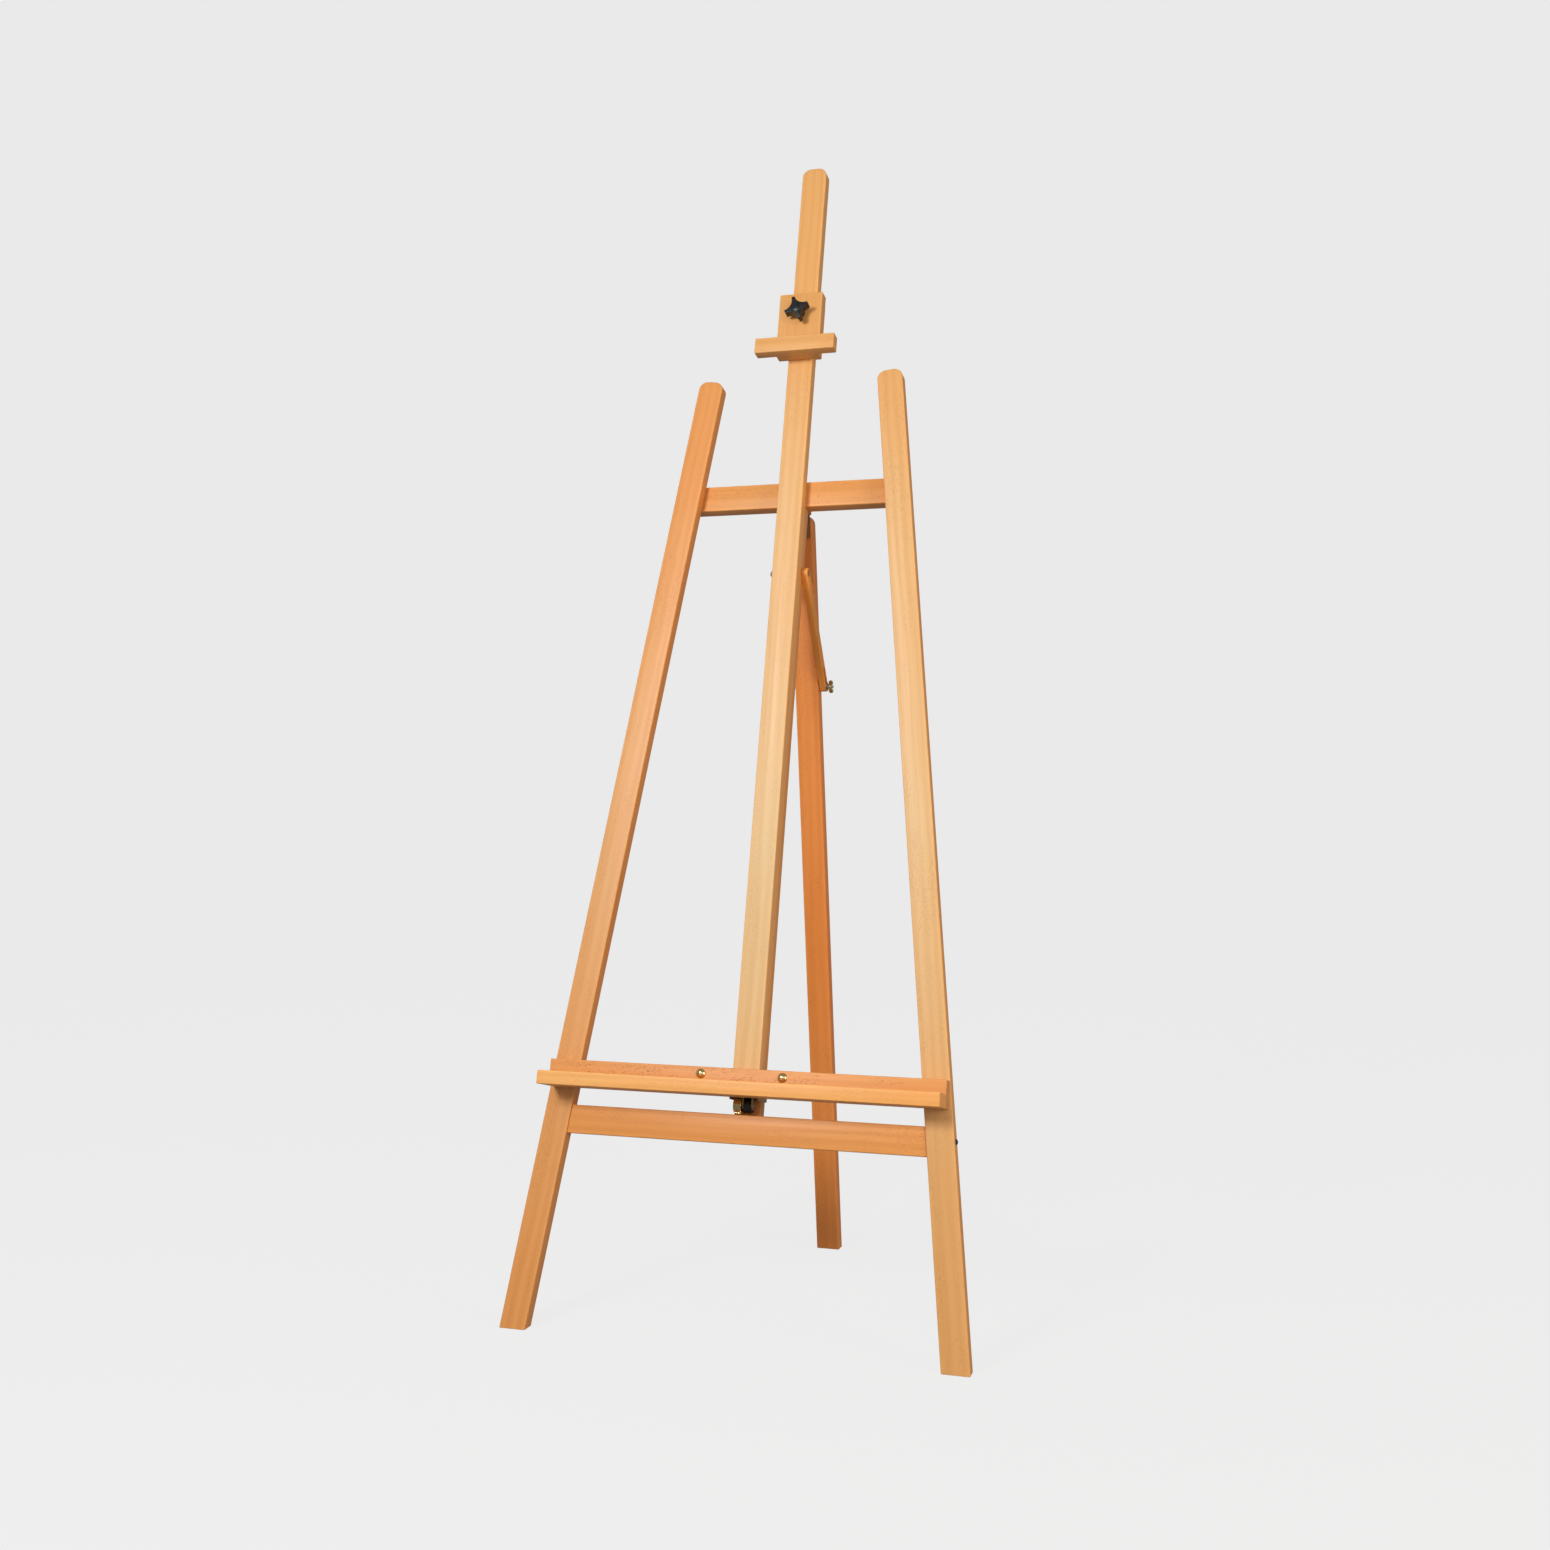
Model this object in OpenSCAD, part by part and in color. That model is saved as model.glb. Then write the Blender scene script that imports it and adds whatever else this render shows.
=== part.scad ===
// Wooden artist easel: splayed front legs, sliding mast with canvas tray and
// holder, and a folding rear leg held by a slotted stay. Sizes in millimetres.
// Frame coordinates: x across, y behind the front legs' faces, z up the slope.

/* [Front frame] */
// Angle the front frame leans back from vertical
lean = 14.25; // [10:0.25:20]
// Length of the front legs up the slope
leg_length = 1470.5; // [1200:1:1800]
// Distance between the front legs' centres at the floor
stance = 645.6; // [520:1:800]
// Distance between the front legs' centres at their tops
top_spread = 291.8; // [240:1:330]
// Width of the battens
batten_w = 40; // [34:1:48]
// Thickness of the battens
batten_t = 20; // [19:0.5:24]
// Corner radius of the rounded batten tops
corner_r = 14; // [6:1:16]
// Height of the lower crossbar's bottom edge up the slope
lower_bar_z = 280; // [200:1:400]
// Height of both crossbars' front faces
crossbar_h = 41; // [36:1:50]
// Thickness of the lower crossbar
lower_bar_t = 18; // [16:0.5:20]
// Thickness of the upper crossbar
upper_bar_t = 22; // [20:0.5:28]
// Distance from the legs' tops down to the upper crossbar's top edge
upper_bar_drop = 173.5; // [120:1:240]
// Thickness of the centre rail
rail_t = 18; // [16:0.5:22]

/* [Mast] */
// Height of the mast's top above the upper crossbar
mast_rise = 542.7; // [520:1:700]
// How far the mast and the tray slide up
mast_travel = 600; // [300:10:640]
// Gap between sliding faces
slide_gap = 0.3; // [0.3:0.05:0.6]

/* [Tray] */
// Length of the tray
tray_length = 592; // [480:1:700]
// Height of the tray's back board
tray_board_h = 39.5; // [38:0.5:44]
// Thickness of the tray's back board
tray_board_t = 20; // [18:0.5:24]
// Depth of the tray's ledge in front of the board
ledge_depth = 42.7; // [30:0.5:60]
// Thickness of the tray's ledge
ledge_t = 19.5; // [16:0.5:20]
// Distance between the tray's two dome bolts
tray_bolt_spacing = 122; // [90:1:160]

/* [Clamp] */
// Width of the knurled clamp wheel
wheel_w = 12; // [8:0.5:14]
// Radius of the clamp cam
cam_r = 10.1; // [8:0.1:10.1]
// Eccentricity of the clamp cam
cam_offset = 2.2; // [1.5:0.1:2.2]
// Width of the clamp cam
cam_w = 11.5; // [8:0.5:14]

/* [Canvas holder] */
// Height of the holder's bottom edge above the upper crossbar
holder_rise = 200; // [195:1:210]
// Height of the holder's front plate
holder_h = 106; // [90:1:130]
// Width of the holder's front plate
holder_w = 70; // [66:1:90]
// Thickness of the holder's front plate
holder_t = 20; // [18:0.5:22]
// Length of the lip bar
lip_length = 129; // [100:1:180]
// Height of the lip bar
lip_h = 25; // [22:0.5:30]
// Depth of the lip bar
lip_t = 19; // [16:0.5:26]
// Diameter of the star knob
knob_d = 39; // [32:1:44]
// How far the knob and its pad can unscrew
pad_travel = 2; // [1:0.25:2]

/* [Rear leg] */
// Angle the rear leg opens away from the front frame
leg_open = 22; // [18:0.5:26]
// Width of the rear leg
rear_leg_w = 38; // [34:0.5:39]
// Distance from the hinge pin down the rear leg to the stay's bolt
stay_bolt_drop = 267; // [240:1:290]
// Height of the stay's pivot below the hinge pin
stay_pivot_drop = 103; // [90:1:115]
// Width of the stay
stay_w = 16; // [14:0.5:22]
// Thickness of the stay
stay_t = 10; // [8:0.5:14]

/* [Hidden] */

$fn = 64;
overcut = 1;
run_fit = 0.05;
body_gap = 0.3;

// Wood screws and dowels
screw_r = 2;
screw_head_r = 4;
screw_head_h = 2.6;
small_screw_r = 1.6;
small_head_r = 3.2;
small_head_h = 1.2;
pan_head_r = 4.6;
pan_head_h = 2.8;
dowel_r = 4;
thin_dowel_r = 3;
washer_t = 1.5;
thread_end = 1;

// Front frame
splay = atan((stance - top_spread) / 2 / leg_length);
half_w = batten_w / 2;
leg_bar_length = leg_length / cos(splay);
foot_spare = 40;
lower_bar_y = batten_t - lower_bar_t;
lower_bar_mid = lower_bar_z + crossbar_h / 2;
upper_bar_z = leg_length - upper_bar_drop - crossbar_h;
upper_bar_mid = upper_bar_z + crossbar_h / 2;
upper_bar_top = upper_bar_z + crossbar_h;
upper_bar_end = 10;
upper_bar_half = stance / 2 - upper_bar_mid * tan(splay) + upper_bar_end;
upper_screw_x = stance / 2 - upper_bar_mid * tan(splay);
upper_screw_dz = 10;
upper_screw_l = 36;
side_screw_l = 80;
side_dowel_dz = 12;
side_dowel_l = 36;
rail_above_bar = 1;
rail_bottom = lower_bar_z + rail_above_bar;
rail_screw_x = 10;
rail_screw_l = 32;
rail_dowel_up = 12;
rail_dowel_down = 25;
rail_mid_y = batten_t + rail_t / 2;

// Hinge
block_w = 38;
block_t = 15.7;
block_h = 38;
leaf_w = 32;
leaf_t = 1.5;
leaf_h = 30;
leaf_start = 3.4;
knuckles = 5;
knuckle_r = 2.8;
knuckle_gap = 0.3;
hinge_pin_r = 1.5;
pin_head_l = 0.5;
pin_behind_leaf = 0.8;
block_back = batten_t + upper_bar_t + block_t;
hinge_y = block_back + leaf_t + pin_behind_leaf;
hinge_below_bar = 4;
hinge_z = upper_bar_z - hinge_below_bar;
block_above_bar = 1;
block_z = upper_bar_z + block_above_bar;
leaf_screw_x = 10;
leaf_screw_low = 11;
leaf_screw_high = 22;
leaf_screw_l = 14;
block_dowel_x = 12;
block_dowel_dz = 29;
block_dowel_z = block_z + block_dowel_dz;
block_dowel_l = 18;

// Rear leg, in its own frame: origin at the hinge pin, z up the leg
leg_front = leaf_t;
leg_mid = leg_front + batten_t / 2;
leg_top = 4.5;
knuckle_recess = knuckle_r + 0.5;
leg_tilt = leg_open - lean;
pin_y = hinge_z * sin(lean) + hinge_y * cos(lean);
pin_height = hinge_z * cos(lean) - hinge_y * sin(lean);
leg_below = pin_height / cos(leg_tilt);
rear_foot_back = pin_y + (leg_front + batten_t) / cos(leg_tilt) + pin_height * tan(leg_tilt);
frame_y = -rear_foot_back / 2;

// Stay: the slot takes up what the fixed turning ratio leaves over
pivot_y = rail_mid_y;
pivot_z = hinge_z - stay_pivot_drop;
pivot_bolt_r = 3;
pivot_head_r = 5.5;
pivot_head_t = 2.5;
pivot_washer_r = rail_t / 2;
cap_nut_r = 6.5;
cap_nut_hex_t = 5;
cap_nut_dome_r = 5.6;
cap_nut_dome_h = 5;
clamp_bolt_r = 2.5;
clamp_head_r = 5.5;
clamp_head_h = 3.2;
spacer_r = 6.5;
wing_washer_r = 7;
wing_washer_t = 1.2;
wing_hub_l = 6;
wing_hub_r1 = 4.6;
wing_hub_r2 = 3.8;
wing_r = 3.9;
wing_t = 2.2;
wing_x = 5.6;
wing_dz = 6.4;
wing_root = 3;
function bolt_y(open) = hinge_y + stay_bolt_drop * sin(open) + leg_mid * cos(open);
function bolt_z(open) = hinge_z - stay_bolt_drop * cos(open) + leg_mid * sin(open);
function stay_reach(open) = norm([bolt_y(open) - pivot_y, bolt_z(open) - pivot_z]);
function stay_turn(open) = atan2(bolt_y(open) - pivot_y, pivot_z - bolt_z(open));
half_open = leg_open / 2;
mid_error_angle = stay_turn(half_open) - (stay_turn(leg_open) + stay_turn(0)) / 2;
stay_angle = stay_turn(leg_open) + mid_error_angle / 2;
slot_side_play = stay_reach(half_open) * sin(abs(mid_error_angle)) / 2;
slot_r = clamp_bolt_r + slot_side_play + 2 * body_gap;
slot_near_play = 1;
slot_far_play = 0.5;
slot_near = stay_reach(0) - slot_near_play;
slot_far = stay_reach(leg_open) + slot_far_play;
stay_end = slot_far + stay_w / 2;
stay_x = half_w + body_gap;
stay_out_x = stay_x + stay_t;
stay_washer_x = stay_out_x + body_gap;

// Mast guide: T-headed stud in a T-groove
stud_neck_r = 3;
stud_head_r = 6;
stud_head_t = 4;
stud_head_y = 9.7;
stud_back = 40;
groove_extra = 16;

// Mast and tray
clamp_room = 24;
tray_z = lower_bar_z + crossbar_h + clamp_room;
mast_above_tray = 5;
mast_z = tray_z + mast_above_tray;
mast_top = upper_bar_top + mast_rise;
mast_y = -slide_gap;
mast_back = mast_y + batten_t;
tray_front = -slide_gap - tray_board_t;
mast_screw_l = 34;
mast_screw_low = 10;
mast_screw_high = 28;
ledge_screw_x1 = 100;
ledge_screw_x2 = 230;
ledge_screw_l = 40;
ledge_screw_z = tray_z + ledge_t / 2;

// Collar
strap_t = 1.5;
collar_in = half_w + body_gap;
collar_out = collar_in + strap_t;
collar_back = batten_t + rail_t + 2 * body_gap;
strap_below_tray = 3;
ear_above_tray = 1;
strap_low = tray_z - strap_below_tray;
ear_low = tray_z + ear_above_tray;
collar_top = tray_z + tray_board_h - ear_above_tray;
ear_end = tray_bolt_spacing / 2 + 11;
tray_bolt_z = tray_z + (ledge_t + tray_board_h) / 2;
tray_bolt_r = 3;
dome_r = 7.3;
dome_h = 4.5;
nut_r = 5.8;
nut_t = 4;

// Clamp
wheel_r = cam_r + cam_offset - body_gap;
wheel_room = 1.5;
axle_y = batten_t - body_gap - cam_r - cam_offset;
axle_z = lower_bar_z + crossbar_h + wheel_room + wheel_r;
axle_r = 2.5;
cheek_t = 1.5;
cam_x = -0.5;
cheek_gap = 0.3;
left_cheek_x = cam_x - cheek_gap - cheek_t;
right_cheek_x = cam_x + cam_w + cheek_gap;
wheel_gap = 0.2;
wheel_x = left_cheek_x - wheel_gap - wheel_w;
groove_depth = 0.8;
axle_end = 0.7;
cheek_r = 6;
bracket_t = 2;
bracket_x0 = -13;
bracket_x1 = 18;
bracket_front = 1;
bracket_back = 18;
bracket_screw_l = 18;
bracket_screw_x1 = -9;
bracket_screw_x2 = 15.5;

// Holder
holder_back = -slide_gap - body_gap;
holder_front = holder_back - holder_t;
holder_z = upper_bar_top + holder_rise;
cheek_w = 6;
cheek_in = half_w + body_gap;
back_bar_y = batten_t;
back_bar_t = 8;
cheek_start = 14;
lip_drop = 2.5;
lip_z = holder_z - lip_drop;
lip_screw_x = 22;
lip_screw_l = 32;
lip_screw_z = lip_z + lip_h / 2;
cheek_screw_dz = 28;
cheek_screw_l = 44;
cheek_screw_r = 1.5;
cheek_screw_head_r = 2.8;
holder_mid = holder_z + holder_h / 2;
knob_up = 70;
knob_z = holder_z + knob_up;
insert_r = 6;
insert_l = 13;
stud_r = 4;
pad_r = 7;
pad_t = 2;
pad_room = pad_t + pad_travel + 2 * body_gap;
stud_tip_r = 3;
knob_hub_r = 9;
knob_hub_l = 9;
knob_t = 13;
knob_waist_r = 10.4;
scallop_r = 16;
knob_turn = -20;
knob_hub_y = holder_front - body_gap;

module on_frame() {
    translate([0, frame_y, 0])
        rotate([-lean, 0, 0])
            children();
}

module on_leg(side) {
    translate([side * stance / 2, 0, 0])
        rotate([0, -side * splay, 0])
            children();
}

module on_rear_leg() {
    on_frame()
        translate([0, hinge_y, hinge_z])
            rotate([leg_open, 0, 0])
                children();
}

module on_stay() {
    on_frame()
        translate([0, pivot_y, pivot_z])
            rotate([stay_angle, 0, 0])
                children();
}

module box(low, high) {
    translate(low)
        cube(high - low);
}

// Cylinders along +x, +y, -y and +z from a point
module rod_x(at, r, l) {
    translate(at)
        rotate([0, 90, 0])
            cylinder(r = r, h = l);
}

module rod_y(at, r, l) {
    translate(at)
        rotate([-90, 0, 0])
            cylinder(r = r, h = l);
}

module rod_z(at, r, l) {
    translate(at)
        cylinder(r = r, h = l);
}

// Batten along z with a rounded top, front face at y = 0
module batten(w, t, low, high, r) {
    box([-w / 2, 0, low], [w / 2, t, high - r]);
    box([-w / 2 + r, 0, high - r - overcut], [w / 2 - r, t, high]);
    for (side = [-1, 1])
        rod_y([side * (w / 2 - r), 0, high - r], r, t);
}

module below_floor() {
    box([-stance, -stance, -2 * foot_spare], [stance, stance + leg_length, 0]);
}

// Countersunk screw along -y from its head's face, and its mirror along +y
module screw_back(at, l, r, head_r, head_h) {
    translate(at)
        rotate([90, 0, 0]) {
            cylinder(r = r, h = l);
            cylinder(r1 = head_r, r2 = r, h = head_h);
        }
}

module screw_front(at, l, r, head_r, head_h) {
    translate(at)
        rotate([-90, 0, 0]) {
            cylinder(r = r, h = l);
            cylinder(r1 = head_r, r2 = r, h = head_h);
        }
}

module washer_x(at, r, hole_r, t) {
    difference() {
        rod_x(at, r, t);
        rod_x(at - [overcut, 0, 0], hole_r, t + 2 * overcut);
    }
}

module hex_nut_x(at, r, hole_r, t) {
    difference() {
        translate(at)
            rotate([0, 90, 0])
                cylinder(r = r, h = t, $fn = 6);
        rod_x(at - [overcut, 0, 0], hole_r, t + 2 * overcut);
    }
}

// Dome of a ball cap, on a plane, pointing along +z
module dome(r, h) {
    ball_r = (r * r + h * h) / (2 * h);
    intersection() {
        translate([0, 0, h - ball_r])
            sphere(r = ball_r, $fn = 96);
        cylinder(r = r + overcut, h = h + overcut);
    }
}

// Fastener shapes, used for the fasteners and for their holes
module upper_crossbar_screw_set() {
    for (side = [-1, 1])
        for (dz = [-upper_screw_dz, upper_screw_dz])
            screw_back([side * upper_screw_x, batten_t + upper_bar_t, upper_bar_mid + dz],
                upper_screw_l, screw_r, screw_head_r, screw_head_h);
}

module side_screw_shank(side) {
    on_leg(side)
        rod_x([side > 0 ? half_w - side_screw_l : -half_w, batten_t - lower_bar_t / 2,
            lower_bar_mid / cos(splay)], screw_r, side_screw_l);
}

module side_dowels(side) {
    on_leg(side)
        for (dz = [-side_dowel_dz, side_dowel_dz])
            rod_x([-side_dowel_l / 2 - side * half_w, batten_t - lower_bar_t / 2,
                lower_bar_mid / cos(splay) + dz], thin_dowel_r, side_dowel_l);
}

module rail_screw_set() {
    for (x = [-rail_screw_x, rail_screw_x])
        screw_back([x, batten_t + rail_t, lower_bar_mid], rail_screw_l, screw_r,
            screw_head_r, screw_head_h);
}

module rail_dowel_shape() {
    rod_z([0, rail_mid_y, upper_bar_z - rail_dowel_down], dowel_r,
        rail_dowel_down + rail_dowel_up);
}

module block_dowel_set() {
    for (x = [-block_dowel_x, block_dowel_x])
        rod_y([x, batten_t + upper_bar_t - block_dowel_l / 2, block_dowel_z],
            thin_dowel_r, block_dowel_l);
}

module upper_leaf_screw_set() {
    leaf_back = block_back + leaf_t;
    for (x = [-leaf_screw_x, leaf_screw_x])
        screw_back([x, leaf_back, hinge_z + leaf_screw_low], leaf_screw_l,
            small_screw_r, small_head_r, small_head_h);
    screw_back([0, leaf_back, hinge_z + leaf_screw_high], leaf_screw_l,
        small_screw_r, small_head_r, small_head_h);
}

module lower_leaf_screw_set() {
    for (x = [-leaf_screw_x, leaf_screw_x])
        screw_front([x, 0, -leaf_screw_low], leaf_screw_l, small_screw_r,
            small_head_r, small_head_h);
    screw_front([0, 0, -leaf_screw_high], leaf_screw_l, small_screw_r,
        small_head_r, small_head_h);
}

module guide_stud_shape() {
    rod_y([0, stud_head_y, upper_bar_mid], stud_head_r, stud_head_t);
    rod_y([0, stud_head_y + stud_head_t - overcut, upper_bar_mid], stud_neck_r,
        stud_back - stud_head_y - stud_head_t + overcut);
}

module tray_ledge_screw_set() {
    for (x = [-ledge_screw_x2, -ledge_screw_x1, ledge_screw_x1, ledge_screw_x2])
        screw_back([x, -slide_gap, ledge_screw_z], ledge_screw_l, screw_r,
            screw_head_r, screw_head_h);
}

module mast_screw_set() {
    for (z = [mast_screw_low, mast_screw_high])
        screw_back([0, mast_back, mast_z + z], mast_screw_l, screw_r,
            screw_head_r, screw_head_h);
}

module bracket_screw_set() {
    for (x = [bracket_screw_x1, bracket_screw_x2])
        translate([x, batten_t / 2 - slide_gap, mast_z - bracket_t]) {
            cylinder(r = small_screw_r, h = bracket_screw_l);
            cylinder(r1 = small_head_r - 1, r2 = small_screw_r, h = small_head_h / 2);
        }
}

module lip_screw_set() {
    for (x = [-lip_screw_x, lip_screw_x])
        screw_back([x, holder_back, lip_screw_z], lip_screw_l, screw_r,
            screw_head_r, screw_head_h);
}

module cheek_screw_set() {
    for (x = [-1, 1])
        for (dz = [-cheek_screw_dz, cheek_screw_dz])
            screw_back([x * (cheek_in + cheek_w / 2), back_bar_y + back_bar_t,
                holder_mid + dz], cheek_screw_l, cheek_screw_r,
                cheek_screw_head_r, small_head_h);
}

module front_leg(side) {
    difference() {
        on_frame()
            difference() {
                on_leg(side)
                    batten(batten_w, batten_t, -foot_spare, leg_bar_length, corner_r);
                upper_crossbar_screw_set();
                side_screw_shank(side);
                side_dowels(side);
            }
        below_floor();
    }
}

module left_leg() {
    color([0.80, 0.58, 0.38])
        front_leg(-1);
}

module right_leg() {
    color([0.80, 0.58, 0.38])
        front_leg(1);
}

module upper_crossbar() {
    color([0.82, 0.60, 0.40])
        on_frame()
            difference() {
                box([-upper_bar_half, batten_t, upper_bar_z],
                    [upper_bar_half, batten_t + upper_bar_t, upper_bar_z + crossbar_h]);
                upper_crossbar_screw_set();
                rail_dowel_shape();
                block_dowel_set();
                guide_stud_shape();
            }
}

module lower_crossbar() {
    color([0.82, 0.60, 0.40])
        on_frame()
            difference() {
                box([-stance / 2, lower_bar_y, lower_bar_z],
                    [stance / 2, batten_t, lower_bar_z + crossbar_h]);
                for (side = [-1, 1]) {
                    on_leg(side)
                        box([side > 0 ? -half_w : -stance, -overcut, 0],
                            [side > 0 ? stance : half_w, batten_t + overcut, leg_length]);
                    side_screw_shank(side);
                    side_dowels(side);
                }
                rail_screw_set();
            }
}

module center_rail() {
    color([0.72, 0.48, 0.28])
        on_frame()
            difference() {
                box([-half_w, batten_t, rail_bottom],
                    [half_w, batten_t + rail_t, upper_bar_z]);
                rail_screw_set();
                rail_dowel_shape();
                rod_x([-half_w - overcut, pivot_y, pivot_z], pivot_bolt_r,
                    batten_w + 2 * overcut);
            }
}

module hinge_block() {
    color([0.74, 0.50, 0.30])
        on_frame()
            difference() {
                box([-block_w / 2, batten_t + upper_bar_t, block_z],
                    [block_w / 2, block_back, block_z + block_h]);
                block_dowel_set();
                upper_leaf_screw_set();
            }
}

module upper_crossbar_screws() {
    color([0.60, 0.60, 0.62])
        on_frame()
            upper_crossbar_screw_set();
}

module lower_crossbar_screws() {
    color([0.08, 0.08, 0.08])
        on_frame()
            for (side = [-1, 1]) {
                side_screw_shank(side);
                on_leg(side)
                    translate([side * half_w, batten_t - lower_bar_t / 2,
                        lower_bar_mid / cos(splay)])
                        rotate([0, side * 90, 0])
                            dome(pan_head_r, pan_head_h);
            }
}

module lower_crossbar_dowels() {
    color([0.85, 0.68, 0.48])
        on_frame()
            for (side = [-1, 1])
                side_dowels(side);
}

module rail_screws() {
    color([0.60, 0.60, 0.62])
        on_frame()
            rail_screw_set();
}

module rail_dowel() {
    color([0.85, 0.68, 0.48])
        on_frame()
            rail_dowel_shape();
}

module hinge_block_dowels() {
    color([0.85, 0.68, 0.48])
        on_frame()
            block_dowel_set();
}

// One hinge leaf in its own frame: pin along x at the origin, leaf towards +z
module leaf(first, face_y) {
    pitch = leaf_w / knuckles;
    difference() {
        union() {
            box([-leaf_w / 2, face_y, leaf_start], [leaf_w / 2, face_y + leaf_t, leaf_h]);
            for (i = [first : 2 : knuckles - 1]) {
                x0 = -leaf_w / 2 + i * pitch + knuckle_gap / 2;
                rod_x([x0, 0, 0], knuckle_r, pitch - knuckle_gap);
                box([x0, face_y, 0], [x0 + pitch - knuckle_gap, face_y + leaf_t,
                    leaf_start + overcut]);
            }
        }
        rod_x([-leaf_w, 0, 0], hinge_pin_r + run_fit, 2 * leaf_w);
    }
}

module hinge_upper_leaf() {
    color([0.65, 0.65, 0.67])
        on_frame()
            difference() {
                translate([0, hinge_y, hinge_z])
                    leaf(0, -pin_behind_leaf - leaf_t);
                upper_leaf_screw_set();
            }
}

module hinge_lower_leaf() {
    color([0.65, 0.65, 0.67])
        on_rear_leg()
            difference() {
                mirror([0, 0, 1])
                    leaf(1, 0);
                lower_leaf_screw_set();
            }
}

module hinge_pin() {
    color([0.55, 0.55, 0.57])
        on_frame() {
            rod_x([-leaf_w / 2 - pin_head_l, hinge_y, hinge_z], hinge_pin_r,
                leaf_w + 2 * pin_head_l);
        }
}

module hinge_upper_screws() {
    color([0.60, 0.60, 0.62])
        on_frame()
            upper_leaf_screw_set();
}

module mast_guide_stud() {
    color([0.60, 0.60, 0.62])
        on_frame()
            guide_stud_shape();
}

module stay_pivot_bolt() {
    head_x = stay_out_x - pivot_head_t;
    bolt_start = -half_w - washer_t - cap_nut_hex_t;
    color([0.62, 0.62, 0.64])
        on_frame() {
            rod_x([bolt_start, pivot_y, pivot_z], pivot_bolt_r, stay_out_x - bolt_start);
            rod_x([head_x, pivot_y, pivot_z], pivot_head_r, pivot_head_t);
        }
}

module stay_pivot_washer() {
    color([0.62, 0.62, 0.64])
        on_frame()
            washer_x([-half_w - washer_t, pivot_y, pivot_z], pivot_washer_r, pivot_bolt_r,
                washer_t);
}

module stay_pivot_nut() {
    nut_x = -half_w - washer_t - cap_nut_hex_t;
    color([0.62, 0.62, 0.64])
        on_frame() {
            hex_nut_x([nut_x, pivot_y, pivot_z], cap_nut_r, pivot_bolt_r, cap_nut_hex_t);
            translate([nut_x, pivot_y, pivot_z])
                rotate([0, -90, 0])
                    dome(cap_nut_dome_r, cap_nut_dome_h);
        }
}

module mast() {
    stud_low = upper_bar_mid - mast_travel;
    entry_z = stud_low - groove_extra;
    neck_half = stud_neck_r + body_gap;
    head_half = stud_head_r + body_gap;
    head_low_y = stud_head_y - body_gap;
    head_t = stud_head_t + 2 * body_gap;
    color([0.90, 0.72, 0.50])
        on_frame()
            difference() {
                translate([0, mast_y, 0])
                    batten(batten_w, batten_t, mast_z, mast_top, corner_r);
                box([-neck_half, head_low_y, entry_z],
                    [neck_half, mast_back + overcut, upper_bar_mid]);
                rod_y([0, head_low_y, upper_bar_mid], neck_half, batten_t);
                box([-head_half, head_low_y, entry_z],
                    [head_half, head_low_y + head_t, upper_bar_mid]);
                rod_y([0, head_low_y, upper_bar_mid], head_half, head_t);
                rod_y([0, head_low_y, entry_z], head_half, batten_t);
                mast_screw_set();
                bracket_screw_set();
            }
}

module tray_back_board() {
    color([0.84, 0.62, 0.42])
        on_frame()
            difference() {
                box([-tray_length / 2, tray_front, tray_z],
                    [tray_length / 2, -slide_gap, tray_z + tray_board_h]);
                tray_ledge_screw_set();
                mast_screw_set();
                for (side = [-1, 1])
                    rod_y([side * tray_bolt_spacing / 2, tray_front - overcut, tray_bolt_z],
                        tray_bolt_r, tray_board_t + 2 * overcut);
            }
}

module tray_ledge() {
    color([0.84, 0.62, 0.42])
        on_frame()
            difference() {
                box([-tray_length / 2, tray_front - ledge_depth, tray_z],
                    [tray_length / 2, tray_front, tray_z + ledge_t]);
                tray_ledge_screw_set();
            }
}

module tray_ledge_screws() {
    color([0.60, 0.60, 0.62])
        on_frame()
            tray_ledge_screw_set();
}

module mast_screws() {
    color([0.60, 0.60, 0.62])
        on_frame()
            mast_screw_set();
}

module guide_collar() {
    color([0.58, 0.58, 0.60])
        on_frame()
            difference() {
                union() {
                    box([-collar_out, collar_back, strap_low],
                        [collar_out, collar_back + strap_t, collar_top]);
                    for (side = [-1, 1]) {
                        inner = side * collar_in;
                        outer = side * collar_out;
                        ear = side * ear_end;
                        box([min(inner, outer), -slide_gap, strap_low],
                            [max(inner, outer), collar_back + strap_t, collar_top]);
                        box([min(inner, ear), -slide_gap, ear_low],
                            [max(inner, ear), -slide_gap + strap_t, collar_top]);
                    }
                }
                for (side = [-1, 1])
                    rod_y([side * tray_bolt_spacing / 2, -overcut, tray_bolt_z],
                        tray_bolt_r, strap_t + 2 * overcut);
            }
}

module collar_bolts() {
    color([0.85, 0.70, 0.36])
        on_frame()
            for (side = [-1, 1])
                translate([side * tray_bolt_spacing / 2, tray_front, tray_bolt_z]) {
                    rotate([-90, 0, 0])
                        cylinder(r = tray_bolt_r,
                            h = tray_board_t + strap_t + nut_t + thread_end);
                    rotate([90, 0, 0])
                        dome(dome_r, dome_h);
                }
}

module collar_nuts() {
    color([0.62, 0.62, 0.64])
        on_frame()
            for (side = [-1, 1])
                translate([side * tray_bolt_spacing / 2, -slide_gap + strap_t, tray_bolt_z])
                    rotate([-90, 0, 0])
                        difference() {
                            cylinder(r = nut_r, h = nut_t, $fn = 6);
                            translate([0, 0, -overcut])
                                cylinder(r = tray_bolt_r, h = nut_t + 2 * overcut);
                        }
}

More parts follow.
